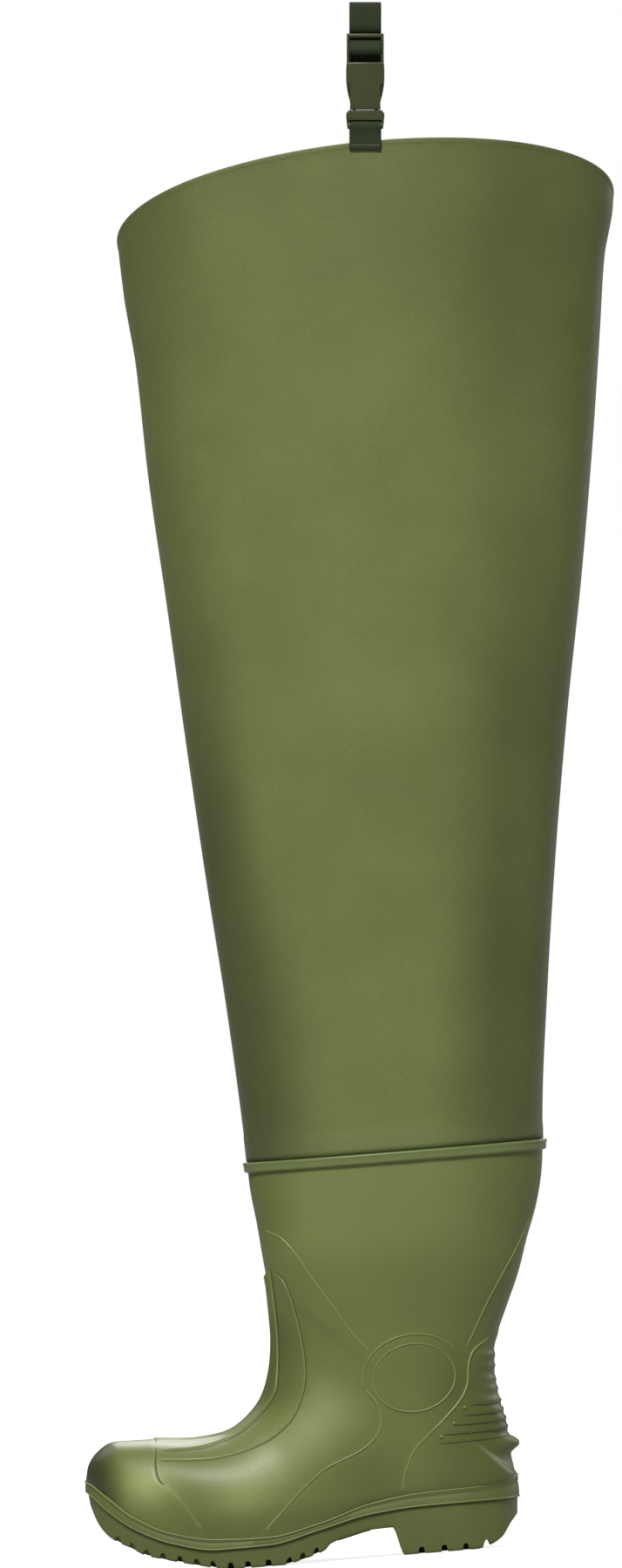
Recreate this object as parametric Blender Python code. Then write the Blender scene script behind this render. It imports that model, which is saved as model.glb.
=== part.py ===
"""Left hip wader: a moulded boot with a coated fabric shaft and a buckled belt hanger.

Metres. +X is the toe, +Y the wearer's left, which is this boot's outer side, and +Z is up.
The origin is on the floor under the heel. Tables hold shares of the named sizes.
"""
import math

import bmesh
import bpy
from mathutils import Matrix, Vector

# Driving sizes of the boot
SOLE_LENGTH = 0.2906
HEEL_REACH = 0.0546
BALL_WIDTH = 0.106
BOOT_HEIGHT = 0.270
BUMPER_HEIGHT = 0.0656
WALL = 0.0035
CLEAR = 0.0003

# Edges and steps of the sole
LEDGE = 0.0015
RAND_STEP = 0.0014
EDGE_ROUND = 0.0008
BED_WALL = 0.0012
INSOLE_THICK = 0.003
LUG_DEPTH = 0.0045
LUG_REACH = 0.027
HEEL_LUG_REACH = 0.024
GROOVE_WIDTH = 0.0036
SLOT_REACH = 0.014
BORDER_WIDTH = 0.0028
CHEVRON_ANGLE = math.radians(24.0)

# Raised panels of the moulded wall
CAP_RISE = 0.0009
COUNTER_RISE = 0.0012
SPINE_RISE = 0.0014
SPINE_HALF = 0.0068
PAD_RISE = 0.0013
PAD_LENGTH = 0.0556
PAD_HEIGHT = 0.0452
RIB_RISE = 0.0010
RIB_HEIGHT = 0.0022
SPUR_REACH = 0.0068
SPUR_HALF = 0.027
SPUR_SPREAD = 0.0045
SPUR_PLACE = 0.252
PANEL_ROOT = 0.0012

# Weld bead and the fabric shaft
BEAD_HEIGHT = 0.007
BEAD_RISE = 0.0025
LIP_HEIGHT = 0.014
LIP_STEP = 0.0007
SEAT_RUN = 0.004
FABRIC = 0.001
FRONT_RIM = 0.893
BACK_RIM = 0.9006
SIDE_RISE = 0.049
SHAFT_DEPTH = 0.336
SHAFT_WIDTH = 0.102
HEM_HEIGHT = 0.004
HEM_RISE = 0.0006

# Belt hanger: webbing and side-release buckle
WEB_WIDTH = 0.0214
WEB_THICK = 0.0016
WALL_BOW = 0.00055
OUTER_LEG = 0.006
INNER_LEG = 0.025
HANGER_LEAN = math.radians(4.6)
HANGER_SHIFT = -0.0239
BUCKLE_WIDTH = 0.0257
BUCKLE_THICK = 0.0076
BUCKLE_WALL = 0.0017
WAIST_WIDTH = 0.021
WAIST_RUN = 0.0035
WINDOW_BOTTOM = 0.0298
WINDOW_TOP = 0.0388
WINDOW_DEPTH = 0.0052
ARM_WIDTH = 0.0024
ARM_TOP = 0.0423
HEAD_SINK = 0.0012
BAR = 0.003
FRAME_WIDTH = 0.0248
RAIL_WIDTH = 0.0013
BELT_GAP = 0.0052
BAR_HEIGHT = 0.0096
BASE_BOTTOM = 0.0142
BODY_BOTTOM = 0.0213
BODY_TOP = 0.053
MIDDLE_BAR = 0.0618
TOP_BAR = 0.0708
LOOP_TOP = 0.0934
LOOP_TURN = 0.004
LOOP_SHIFT = 0.001
LOOP_SPREAD = 0.006

# Sole outline and rand, by angle round the plan from the toe tip to the heel's rear.
# outer and inner are shares of the ball width, rand and step are shares of the bumper height.
OUTLINE = [
    # angle, outer, inner, rand, step
    (0.0, -0.123, -0.123, 1.000, 0.889),
    (12.5, 0.033, -0.278, 0.968, 0.838),
    (25.0, 0.169, -0.406, 0.831, 0.678),
    (38.0, 0.297, -0.483, 0.607, 0.473),
    (52.0, 0.394, -0.526, 0.415, 0.299),
    (66.0, 0.462, -0.528, 0.320, 0.203),
    (80.0, 0.481, -0.486, 0.302, 0.210),
    (94.0, 0.446, -0.413, 0.401, 0.323),
    (108.0, 0.396, -0.362, 0.558, 0.439),
    (122.0, 0.377, -0.364, 0.622, 0.479),
    (136.0, 0.370, -0.368, 0.636, 0.485),
    (150.0, 0.307, -0.307, 0.646, 0.485),
    (160.0, 0.226, -0.226, 0.671, 0.485),
    (170.0, 0.121, -0.121, 0.713, 0.485),
    (180.0, 0.000, 0.000, 0.726, 0.485),
]

# Under edge of the sole from the heel's rear: flat heel, breast, arch, flat forefoot, toe spring
UNDERSIDE = [
    # along, height
    (0.000, 0.305),
    (0.016, 0.235),
    (0.043, 0.090),
    (0.072, 0.030),
    (0.105, 0.000),
    (0.2756, 0.000),
    (0.298, 0.290),
    (0.344, 0.284),
    (0.394, 0.239),
    (0.4425, 0.175),
    (0.456, 0.117),
    (0.480, 0.076),
    (0.518, 0.030),
    (0.5526, 0.000),
    (0.683, 0.000),
    (0.735, 0.044),
    (0.797, 0.105),
    (0.831, 0.145),
    (0.876, 0.198),
    (0.9105, 0.282),
    (0.954, 0.386),
    (0.983, 0.534),
    (1.000, 0.730),
]

# Top of the sole inside the boot
FOOTBED = [
    # along, height
    (0.000, 0.457),
    (0.240, 0.465),
    (0.343, 0.412),
    (0.463, 0.297),
    (0.566, 0.229),
    (0.670, 0.224),
    (0.773, 0.282),
    (0.876, 0.427),
    (0.945, 0.579),
    (1.000, 0.670),
]

# Sections that end at the sole: where each meets the ridge of the foot, and its shape.
# along is a share of the sole length, rise of the way from the bumper's height to the boot's,
# girth of the ball width; widest says how far down the section is widest, and square below 1
# is boxier.
FOOT_ROWS = [
    # angle, along, rise, girth, widest, square
    (0.0, 0.9948, 0.0000, 0.00, 0.85, 0.92),
    (12.5, 0.987, 0.0436, 0.05, 0.84, 0.88),
    (25.0, 0.967, 0.0833, 0.10, 0.82, 0.85),
    (38.0, 0.921, 0.1163, 0.17, 0.80, 0.83),
    (52.0, 0.835, 0.1150, 0.24, 0.78, 0.83),
    (66.0, 0.749, 0.1057, 0.32, 0.75, 0.86),
    (80.0, 0.670, 0.1163, 0.39, 0.70, 0.96),
    (94.0, 0.602, 0.1757, 0.415, 0.66, 1.06),
    (104.0, 0.568, 0.2391, 0.41, 0.62, 1.10),
    (119.0, 0.545, 0.3488, 0.40, 0.60, 1.10),
    (137.0, 0.539, 0.4373, 0.396, 0.57, 1.08),
    (159.0, 0.540, 0.5205, 0.396, 0.54, 1.05),
    (180.0, 0.541, 0.5905, 0.396, 0.52, 1.02),
]

# Sections that close behind the heel and the leg
LEG_ROWS = [
    # front height, back height, girth
    (0.706, 0.223, 0.396),
    (0.720, 0.252, 0.396),
    (0.734, 0.281, 0.396),
    (0.752, 0.318, 0.396),
    (0.772, 0.365, 0.396),
    (0.795, 0.425, 0.396),
    (0.818, 0.486, 0.396),
    (0.842, 0.550, 0.397),
    (0.868, 0.630, 0.400),
    (0.894, 0.715, 0.407),
    (0.924, 0.812, 0.416),
    (0.974, 0.974, 0.427),
]

SHIN = [
    # height, along
    (0.690, 0.5410),
    (0.759, 0.5480),
    (0.844, 0.5550),
    (0.941, 0.5650),
    (1.007, 0.5670),
    (1.060, 0.5690),
]

HEEL_BACK = [
    # height, along
    (0.176, 0.0090),
    (0.230, 0.0165),
    (0.306, 0.0215),
    (0.359, 0.0310),
    (0.430, 0.0385),
    (0.489, 0.0335),
    (0.533, 0.0190),
    (0.600, -0.0083),
    (0.674, -0.0382),
    (0.759, -0.0647),
    (0.844, -0.0933),
    (0.930, -0.1118),
    (1.015, -0.1204),
    (1.060, -0.1236),
]

# Fabric tube above the lip: rise is a share of the way from the lip to the rim
SHAFT_ROWS = [
    # rise, front, back (shares of the shaft depth), width (share of the shaft width)
    (0.125, 0.3430, -0.2990, 0.902),
    (0.265, 0.3640, -0.3380, 0.925),
    (0.405, 0.3820, -0.3830, 0.945),
    (0.545, 0.3980, -0.4340, 0.965),
    (0.685, 0.4150, -0.4790, 0.985),
    (0.790, 0.4210, -0.5090, 1.000),
    (0.865, 0.4340, -0.5300, 1.000),
    (0.920, 0.4380, -0.5560, 1.000),
    (1.000, 0.4400, -0.5655, 1.000),
]

# Side-view outlines of the raised panels: along, height
TOE_CAP = [(0.728, 0.050), (0.757, 0.1415), (0.781, 0.181), (0.8015, 0.204), (0.8314, 0.2285),
           (0.835, 0.287), (0.830, 0.400), (1.050, 0.400), (1.050, 0.050)]
COUNTER = [(-0.100, 0.548), (0.0186, 0.534), (0.0485, 0.5156), (0.0785, 0.492), (0.0946, 0.4637),
           (0.0995, 0.4115), (0.1218, 0.369), (0.168, 0.321), (0.2199, 0.2733), (0.252, 0.2226),
           (0.2688, 0.172), (0.274, 0.090), (-0.100, 0.090)]
SPINE = [(0.833, 0.300), (0.833, 0.370), (0.640, 0.480), (0.620, 0.716), (0.490, 0.716),
         (0.490, 0.440), (0.560, 0.350), (0.660, 0.300)]
PAD_CENTRE = (0.222, 0.437)
RIB_HEIGHTS = [0.368, 0.344, 0.322, 0.301]
RIB_FRONT = [0.085, 0.105, 0.125, 0.145]

# Tread: groove and slot places along the sole
TREAD_GROOVES = [0.478, 0.542, 0.638, 0.718, 0.794, 0.869, 0.934]
TREAD_SLOTS = [0.510, 0.590, 0.678, 0.756, 0.832, 0.902]
CHEVRONS = [0.542, 0.638, 0.718, 0.794, 0.869]
HEEL_GROOVES = [0.183]
HEEL_SLOTS = [0.236, 0.133]
HEEL_CROSS = 0.085
HEEL_COLUMN = 0.016

# Panels are cut out to this share of the ball width each side, past the widest of the boot
PANEL_REACH = 0.6

# Sample counts
FOOT_STEPS = [0, 9, 15, 20, 26, 32, 38, 45, 52, 59, 66, 73, 80, 87, 94, 99, 104, 111, 119, 128,
              137, 148, 159, 170, 180]
CROWN_STEPS = 8
SIDE_STEPS = 6

OLIVE = (0.105, 0.118, 0.050, 1.0)
OLIVE_DARK = (0.040, 0.045, 0.026, 1.0)
OLIVE_WEB = (0.020, 0.023, 0.013, 1.0)


def smooth_curve(rows, column, at):
    """Monotone cubic through a table's rows: first column against the given one."""
    xs = [row[0] for row in rows]
    ys = [row[column] for row in rows]
    if at <= xs[0]:
        return ys[0]
    if at >= xs[-1]:
        return ys[-1]
    widths = [b - a for a, b in zip(xs, xs[1:])]
    rises = [(b - a) / w for a, b, w in zip(ys, ys[1:], widths)]
    slopes = [rises[0]]
    for left, right, wl, wr in zip(rises, rises[1:], widths, widths[1:]):
        if left * right <= 0.0:
            slopes.append(0.0)
        else:
            heavy = 2.0 * wr + wl
            light = wr + 2.0 * wl
            slopes.append((heavy + light) / (heavy / left + light / right))
    slopes.append(rises[-1])
    spot = max(i for i in range(len(widths)) if xs[i] <= at)
    w = widths[spot]
    t = (at - xs[spot]) / w
    return (ys[spot] * (1 + 2 * t) * (1 - t) ** 2 + slopes[spot] * w * t * (1 - t) ** 2
            + ys[spot + 1] * t * t * (3 - 2 * t) - slopes[spot + 1] * w * t * t * (1 - t))


def along_x(share):
    return share * SOLE_LENGTH - HEEL_REACH


def angle_at(share):
    """Plan angle of the outline at a share of the sole length."""
    return math.degrees(math.acos(max(-1.0, min(1.0, 2.0 * share - 1.0))))


def outline_point(angle, outer, inset=0.0):
    """Point of the sole outline in plan, moved inwards by inset."""
    def raw(turn):
        column = 1 if outer else 2
        share = smooth_curve(OUTLINE, column, turn)
        return Vector((along_x(0.5 + 0.5 * math.cos(math.radians(turn))), share * BALL_WIDTH))
    if angle <= 0.0:
        return raw(0.0) + Vector((-inset, 0.0))
    if angle >= 180.0:
        return raw(180.0) + Vector((inset, 0.0))
    tangent = raw(min(angle + 1.5, 180.0)) - raw(max(angle - 1.5, 0.0))
    inward = Vector((tangent.y, -tangent.x)) if outer else Vector((-tangent.y, tangent.x))
    inward = -inward
    return raw(angle) + inward.normalized() * inset


def rand_top(angle):
    return smooth_curve(OUTLINE, 3, angle) * BUMPER_HEIGHT


def rand_step(angle):
    return smooth_curve(OUTLINE, 4, angle) * BUMPER_HEIGHT


def under_height(x):
    return smooth_curve(UNDERSIDE, 1, (x + HEEL_REACH) / SOLE_LENGTH) * BUMPER_HEIGHT


def bed_height(x):
    return smooth_curve(FOOTBED, 1, (x + HEEL_REACH) / SOLE_LENGTH) * BUMPER_HEIGHT


def shin_x(z):
    return along_x(smooth_curve(SHIN, 1, z / BOOT_HEIGHT))


def back_x(z):
    return along_x(smooth_curve(HEEL_BACK, 1, z / BOOT_HEIGHT))


def section(ridge, girth, widest, square, ends):
    """One section of the upper, from its outer end over the ridge to its inner end.

    ridge is the top point, ends are the outer and inner end points, and the section swells
    to the girth at the share widest of the way down.
    """
    points = []
    for side, end in ((1.0, ends[0]), (-1.0, ends[1])):
        centre = 0.5 * (ends[0].y + ends[1].y)
        foot = abs(end.y - centre)
        half = max(girth, foot)
        run = []
        for step in range(1, CROWN_STEPS + 1):
            turn = 0.5 * math.pi * step / CROWN_STEPS
            down = widest * (1.0 - math.cos(turn) ** square)
            run.append((down, half * math.sin(turn) ** square))
        for step in range(1, SIDE_STEPS + 1):
            turn = 0.5 * math.pi * step / SIDE_STEPS
            down = widest + (1.0 - widest) * math.sin(turn)
            run.append((down, foot + (half - foot) * math.cos(turn)))
        side_points = []
        for down, out in run:
            spot = ridge.lerp(end, down)
            side_points.append(Vector((spot.x, centre + side * out, spot.z)))
        points.append(side_points)
    crown = Vector((ridge.x, 0.5 * (ends[0].y + ends[1].y), ridge.z))
    return points[0][::-1] + [crown] + points[1]


def foot_section(angle):
    ends = []
    for outer in (True, False):
        spot = outline_point(angle, outer, LEDGE)
        ends.append(Vector((spot.x, spot.y, rand_top(angle) + CLEAR)))
    rise = smooth_curve(FOOT_ROWS, 2, angle) * (BOOT_HEIGHT - BUMPER_HEIGHT)
    ridge = Vector((along_x(smooth_curve(FOOT_ROWS, 1, angle)), 0.0, BUMPER_HEIGHT + rise))
    if angle <= 0.0:
        ridge = ends[0].copy()
    return section(ridge, smooth_curve(FOOT_ROWS, 3, angle) * BALL_WIDTH,
                   smooth_curve(FOOT_ROWS, 4, angle), smooth_curve(FOOT_ROWS, 5, angle), ends)


def leg_section(front, back, girth):
    ridge = Vector((shin_x(front), 0.0, front))
    end = Vector((back_x(back), 0.0, back))
    points = section(ridge, girth, 0.5, 1.0, (end, end))
    nearness = math.exp(-((back - SPUR_PLACE * BOOT_HEIGHT) / SPUR_SPREAD) ** 2)
    for point in points:
        if point.x < end.x + SPUR_HALF and abs(point.y) < SPUR_HALF:
            point.x -= SPUR_REACH * nearness * (1.0 - (point.y / SPUR_HALF) ** 2)
    return points


def lip_girth():
    return LEG_ROWS[-1][2] * BALL_WIDTH


def upper_rows():
    """Outer skin of the boot as rows, and how many of them end at the sole."""
    rows = [foot_section(angle) for angle in FOOT_STEPS]
    open_rows = len(rows)
    for front, back, girth in LEG_ROWS:
        rows.append(leg_section(front * BOOT_HEIGHT, back * BOOT_HEIGHT, girth * BALL_WIDTH))
    return rows, open_rows


def row_normals(rows, open_rows):
    """Outward normals of the skin, level along the edge that meets the sole."""
    normals = []
    last = len(rows[0]) - 1
    for i, row in enumerate(rows):
        line = []
        for j, point in enumerate(row):
            if i >= open_rows and j in (0, last):
                across = rows[i][last - 1] - rows[i][1]
            else:
                across = row[max(j - 1, 0)] - row[min(j + 1, last)]
            up = rows[min(i + 1, len(rows) - 1)][j] - rows[max(i - 1, 0)][j]
            normal = across.cross(up)
            if i == 0:
                normal = Vector((1.0, 0.0, 0.0))
            elif i == open_rows - 1 and j in (0, last):
                normal = Vector((-1.0, 0.0, 0.0))
            elif i < open_rows and j in (0, last):
                normal.z = 0.0
            line.append(normal.normalized())
        normals.append(line)
    return normals


def offset_rows(rows, normals, distance):
    return [[p + n * distance for p, n in zip(row, line)] for row, line in zip(rows, normals)]


def raise_edge(rows, open_rows):
    """Keep a panel's lower edge just above the edge of the wall that it stands on."""
    for point in rows[0]:
        point.z += CLEAR
    for row in rows[1:open_rows]:
        for point in (row[0], row[-1]):
            point.z += CLEAR
    return rows


def thick_shell(outer, inner, open_rows):
    """Closed wall between two skins of the boot, open at its top and under the foot."""
    bm = bmesh.new()
    skins = []
    for skin in (outer, inner):
        skins.append([[bm.verts.new(p) for p in row] for row in skin])
    last = len(outer[0]) - 1
    for grid, flip in ((skins[0], False), (skins[1], True)):
        for low, high in zip(grid, grid[1:]):
            for j in range(last):
                corners = [low[j], low[j + 1], high[j + 1], high[j]]
                bm.faces.new(corners[::-1] if flip else corners)
    for j in (0, last):
        for i in range(open_rows - 1):
            bm.faces.new([skins[0][i][j], skins[0][i + 1][j], skins[1][i + 1][j], skins[1][i][j]])
    for j in range(last):
        bm.faces.new([skins[0][-1][j], skins[0][-1][j + 1], skins[1][-1][j + 1], skins[1][-1][j]])
    finish_mesh(bm)
    return bm


def finish_mesh(bm):
    bmesh.ops.remove_doubles(bm, verts=bm.verts, dist=1e-6)
    bmesh.ops.dissolve_degenerate(bm, dist=1e-7, edges=bm.edges)
    bmesh.ops.triangulate(bm, faces=[f for f in bm.faces if len(f.verts) > 3])
    bmesh.ops.recalc_face_normals(bm, faces=bm.faces)


def ring_stack(rings):
    """Closed body through rings of equal count, capped across by pairing opposite points."""
    bm = bmesh.new()
    loops = [[bm.verts.new(p) for p in ring] for ring in rings]
    count = len(loops[0])
    for low, high in zip(loops, loops[1:]):
        for k in range(count):
            n = (k + 1) % count
            bm.faces.new([low[k], low[n], high[n], high[k]])
    half = count // 2
    for loop in (loops[0], loops[-1]):
        for k in range(half):
            left = [loop[k], loop[k + 1]]
            right = [loop[count - k - 1], loop[(count - k) % count]]
            corners = []
            for vert in left + right:
                if vert not in corners:
                    corners.append(vert)
            bm.faces.new(corners)
    finish_mesh(bm)
    return bm


def tube_wall(outer, inner):
    """Closed wall between two tubes given as stacks of rings, open at both ends."""
    bm = bmesh.new()
    skins = [[[bm.verts.new(p) for p in ring] for ring in skin] for skin in (outer, inner)]
    count = len(outer[0])
    stack = skins[0] + skins[1][::-1]
    for low, high in zip(stack, stack[1:] + stack[:1]):
        for k in range(count):
            n = (k + 1) % count
            bm.faces.new([low[k], low[n], high[n], high[k]])
    finish_mesh(bm)
    return bm


def prism(outline, low, high, shift=None):
    """Side-view outline drawn out along Y between two planes."""
    bm = bmesh.new()
    sides = []
    for y in (low, high):
        ring = []
        for along, height in outline:
            x = along_x(along)
            move = shift(x) if shift else 0.0
            ring.append(bm.verts.new((x, y + move, height * BOOT_HEIGHT)))
        sides.append(ring)
    count = len(outline)
    bm.faces.new(sides[0])
    bm.faces.new(sides[1])
    for k in range(count):
        n = (k + 1) % count
        bm.faces.new([sides[0][k], sides[0][n], sides[1][n], sides[1][k]])
    bmesh.ops.recalc_face_normals(bm, faces=bm.faces)
    return bm


def add_box(bm, matrix, size):
    made = bmesh.ops.create_cube(bm, size=1.0)
    bmesh.ops.scale(bm, vec=size, verts=made["verts"])
    bmesh.ops.transform(bm, matrix=matrix, verts=made["verts"])


def make_material(name, colour, roughness):
    material = bpy.data.materials.new(name)
    material.use_nodes = True
    shader = material.node_tree.nodes["Principled BSDF"]
    shader.inputs["Base Color"].default_value = colour
    shader.inputs["Roughness"].default_value = roughness
    shader.inputs["Metallic"].default_value = 0.0
    return material


def make_object(name, bm, collection, look=None):
    mesh = bpy.data.meshes.new(name)
    bm.to_mesh(mesh)
    bm.free()
    thing = bpy.data.objects.new(name, mesh)
    collection.objects.link(thing)
    if look:
        colour, roughness = look
        mesh.materials.append(make_material(name + "_finish", colour, roughness))
        mesh.shade_smooth()
        mesh.set_sharp_from_angle(angle=math.radians(35.0))
    else:
        thing.hide_render = True
        thing.display_type = "WIRE"
    return thing


def boolean(thing, tool, operation):
    cut = thing.modifiers.new(operation.lower() + "_" + tool.name, "BOOLEAN")
    cut.operation = operation
    cut.solver = "EXACT"
    cut.object = tool


def clear_scene():
    for thing in list(bpy.data.objects):
        bpy.data.objects.remove(thing, do_unlink=True)


def new_collection(name):
    collection = bpy.data.collections.new(name)
    bpy.context.scene.collection.children.link(collection)
    return collection


def build_upper(parts, cutters):
    """Moulded boot: one wall, with its panels as steps that stand out of it."""
    rows, open_rows = upper_rows()
    normals = row_normals(rows, open_rows)
    outer = offset_rows(rows, normals, 0.0)
    inner = offset_rows(rows, normals, -WALL)
    lip = FABRIC + CLEAR
    for height, sink in ((BOOT_HEIGHT - LIP_STEP, 0.0), (BOOT_HEIGHT, lip), (lip_top(), lip)):
        outer.append(leg_ring_section(height, -sink))
        inner.append(leg_ring_section(height, -WALL))
    upper = make_object("boot_upper", thick_shell(outer, inner, open_rows), parts, (OLIVE, 0.62))
    reach = PANEL_REACH * BALL_WIDTH
    panels = [
        ("toe_cap_step", CAP_RISE, prism(TOE_CAP, -reach, reach)),
        ("counter_step", COUNTER_RISE, prism(COUNTER, -reach, reach)),
        ("spine_step", SPINE_RISE, prism(SPINE, -SPINE_HALF, SPINE_HALF, ridge_shift)),
        ("outer_pad_step", PAD_RISE, pad_prism(0.0, reach)),
        ("inner_pad_step", PAD_RISE, pad_prism(-reach, 0.0)),
        ("heel_ribs_step", COUNTER_RISE + RIB_RISE, rib_slabs(reach)),
    ]
    for name, rise, cutter_mesh in panels:
        face = raise_edge(offset_rows(rows, normals, rise), open_rows)
        root = raise_edge(offset_rows(rows, normals, -PANEL_ROOT), open_rows)
        band = thick_shell(face, root, open_rows)
        panel = make_object(name, band, cutters)
        cutter = make_object(name + "_outline", cutter_mesh, cutters)
        boolean(panel, cutter, "INTERSECT")
        boolean(upper, panel, "UNION")


def leg_ring_section(z, offset):
    """Level section of the leg at a height, moved out by offset, in the order of the rows."""
    front = Vector((shin_x(z) + offset, 0.0, z))
    back = Vector((back_x(z) - offset, 0.0, z))
    return section(front, lip_girth() + offset, 0.5, 1.0, (back, back))


def ridge_shift(x):
    """How far the middle of the forefoot lies to the side at x."""
    angle = angle_at((x + HEEL_REACH) / SOLE_LENGTH)
    middle = smooth_curve(OUTLINE, 1, angle) + smooth_curve(OUTLINE, 2, angle)
    return 0.5 * middle * BALL_WIDTH if angle < 80.0 else 0.0


def pad_prism(low, high):
    centre_x, centre_z = PAD_CENTRE
    outline = []
    count = 20
    for k in range(count):
        turn = 2.0 * math.pi * k / count
        outline.append((centre_x + 0.5 * PAD_LENGTH / SOLE_LENGTH * math.cos(turn),
                        centre_z + 0.5 * PAD_HEIGHT / BOOT_HEIGHT * math.sin(turn)))
    return prism(outline, low, high)


def rib_slabs(reach):
    """Slabs that cut the heel ribs out of a raised skin."""
    bm = bmesh.new()
    rear = along_x(-0.1)
    for height, front_share in zip(RIB_HEIGHTS, RIB_FRONT):
        front = along_x(front_share)
        centre = Matrix.Translation((0.5 * (rear + front), 0.0, height * BOOT_HEIGHT))
        add_box(bm, centre, (front - rear, 2.0 * reach, RIB_HEIGHT))
    return bm


def sole_angles():
    angles = set(row[0] for row in OUTLINE)
    angles.update(angle_at(row[0]) for row in UNDERSIDE)
    kept = []
    for angle in sorted(angles):
        if not kept or angle - kept[-1] > 1.2:
            kept.append(angle)
    kept[-1] = 180.0
    return kept


def sole_ring(inset, height):
    """Ring round the sole at an inset, with height given as a function of angle and x."""
    angles = sole_angles()
    ring = []
    for angle in angles:
        spot = outline_point(angle, True, inset)
        ring.append(Vector((spot.x, spot.y, height(angle, spot.x))))
    for angle in angles[-2:0:-1]:
        spot = outline_point(angle, False, inset)
        ring.append(Vector((spot.x, spot.y, height(angle, spot.x))))
    return ring


def build_outsole(parts, cutters):
    """Sole unit: cup with a ledge, rand with two steps, lugs cut from below."""
    bed = LEDGE + WALL + BED_WALL
    rings = [
        sole_ring(bed, lambda a, x: bed_height(x)),
        sole_ring(bed - 0.5 * BED_WALL, lambda a, x: rand_top(a)),
        sole_ring(EDGE_ROUND, lambda a, x: rand_top(a)),
        sole_ring(0.0, lambda a, x: rand_top(a) - EDGE_ROUND),
        sole_ring(0.0, lambda a, x: rand_step(a)),
        sole_ring(RAND_STEP, lambda a, x: rand_step(a) - EDGE_ROUND),
        sole_ring(RAND_STEP + EDGE_ROUND, lambda a, x: min(under_height(x) + 3.0 * EDGE_ROUND,
                                                           rand_step(a) - 2.0 * EDGE_ROUND)),
        sole_ring(RAND_STEP + 3.0 * EDGE_ROUND, lambda a, x: under_height(x)),
    ]
    sole = make_object("outsole", ring_stack(rings), parts, (OLIVE, 0.7))
    for name, bm in (("side_grooves", side_grooves()), ("border_grooves", border_grooves()),
                     ("chevrons_outer", chevron_grooves(1.0)), ("chevrons_inner", chevron_grooves(-1.0)),
                     ("heel_column", heel_column())):
        boolean(sole, make_object(name, bm, cutters), "DIFFERENCE")


def groove_box(bm, x, near, far, width, depth=LUG_DEPTH):
    """Groove across the underside at x, between two side positions, square to the surface."""
    step = 0.5 * width
    slope = math.atan2(under_height(x + step) - under_height(x - step), 2.0 * step)
    height = 3.0 * depth
    place = (Matrix.Translation((x, 0.5 * (near + far), under_height(x)))
             @ Matrix.Rotation(-slope, 4, "Y") @ Matrix.Translation((0.0, 0.0, depth - 0.5 * height)))
    add_box(bm, place, (width, abs(far - near), height))


def side_grooves():
    bm = bmesh.new()
    over = 1.5 * GROOVE_WIDTH
    places = [(a, LUG_REACH, GROOVE_WIDTH) for a in TREAD_GROOVES]
    places += [(a, SLOT_REACH, GROOVE_WIDTH) for a in TREAD_SLOTS]
    places += [(a, HEEL_LUG_REACH, GROOVE_WIDTH) for a in HEEL_GROOVES]
    places += [(a, SLOT_REACH, GROOVE_WIDTH) for a in HEEL_SLOTS]
    for share, reach, width in places:
        x = along_x(share)
        for outer, sign in ((True, 1.0), (False, -1.0)):
            edge = outline_point(angle_at(share), outer).y
            groove_box(bm, x, edge + sign * over, edge - sign * reach, width)
    edge = 0.45 * BALL_WIDTH
    groove_box(bm, along_x(HEEL_CROSS), -edge, edge, GROOVE_WIDTH)
    return bm


def strip_cutter(bm, path, width, depth):
    """Groove of square section along a plan path on the underside."""
    rings = []
    for k, spot in enumerate(path):
        run = path[min(k + 1, len(path) - 1)] - path[max(k - 1, 0)]
        side = Vector((-run.y, run.x)).normalized() * 0.5 * width
        low = under_height(spot.x) - 2.0 * depth
        high = under_height(spot.x) + depth
        rings.append([bm.verts.new((spot.x + s * side.x, spot.y + s * side.y, z))
                      for s, z in ((-1, low), (1, low), (1, high), (-1, high))])
    for a, b in zip(rings, rings[1:]):
        for k in range(4):
            n = (k + 1) % 4
            bm.faces.new([a[k], a[n], b[n], b[k]])
    bm.faces.new(rings[0])
    bm.faces.new(rings[-1])


def border_grooves():
    """Long grooves between the side lugs and the middle field of the forefoot."""
    bm = bmesh.new()
    stations = [0.50, 0.54, 0.58, 0.62, 0.66, 0.70, 0.74, 0.78, 0.82, 0.86, 0.90]
    for outer in (True, False):
        path = [outline_point(angle_at(s), outer, LUG_REACH) for s in stations]
        strip_cutter(bm, path, BORDER_WIDTH, 0.8 * LUG_DEPTH)
    bmesh.ops.recalc_face_normals(bm, faces=bm.faces)
    return bm


def chevron_grooves(sign):
    """One arm of each V groove in the middle field, which points to the toe."""
    bm = bmesh.new()
    for share in CHEVRONS:
        x = along_x(share)
        middle = ridge_shift(x)
        edge = outline_point(angle_at(share), sign > 0.0, LUG_REACH).y
        length = abs(edge - middle) / math.cos(CHEVRON_ANGLE)
        turn = Matrix.Rotation(sign * CHEVRON_ANGLE, 4, "Z")
        depth = 0.7 * LUG_DEPTH
        centre = Vector((x, middle, under_height(x)))
        arm = turn @ Vector((0.0, sign * 0.5 * length, 0.0))
        place = Matrix.Translation(centre + arm + Vector((0.0, 0.0, -0.5 * depth))) @ turn
        add_box(bm, place, (BORDER_WIDTH, length, 3.0 * depth))
    return bm


def heel_column():
    """Two grooves that part the middle of the heel from its side lugs."""
    bm = bmesh.new()
    front = along_x(0.30)
    rear = along_x(HEEL_CROSS)
    for sign in (1.0, -1.0):
        place = Matrix.Translation((0.5 * (front + rear), sign * HEEL_COLUMN, 0.0))
        add_box(bm, place, (front - rear, BORDER_WIDTH, 1.6 * LUG_DEPTH))
    return bm


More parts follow.
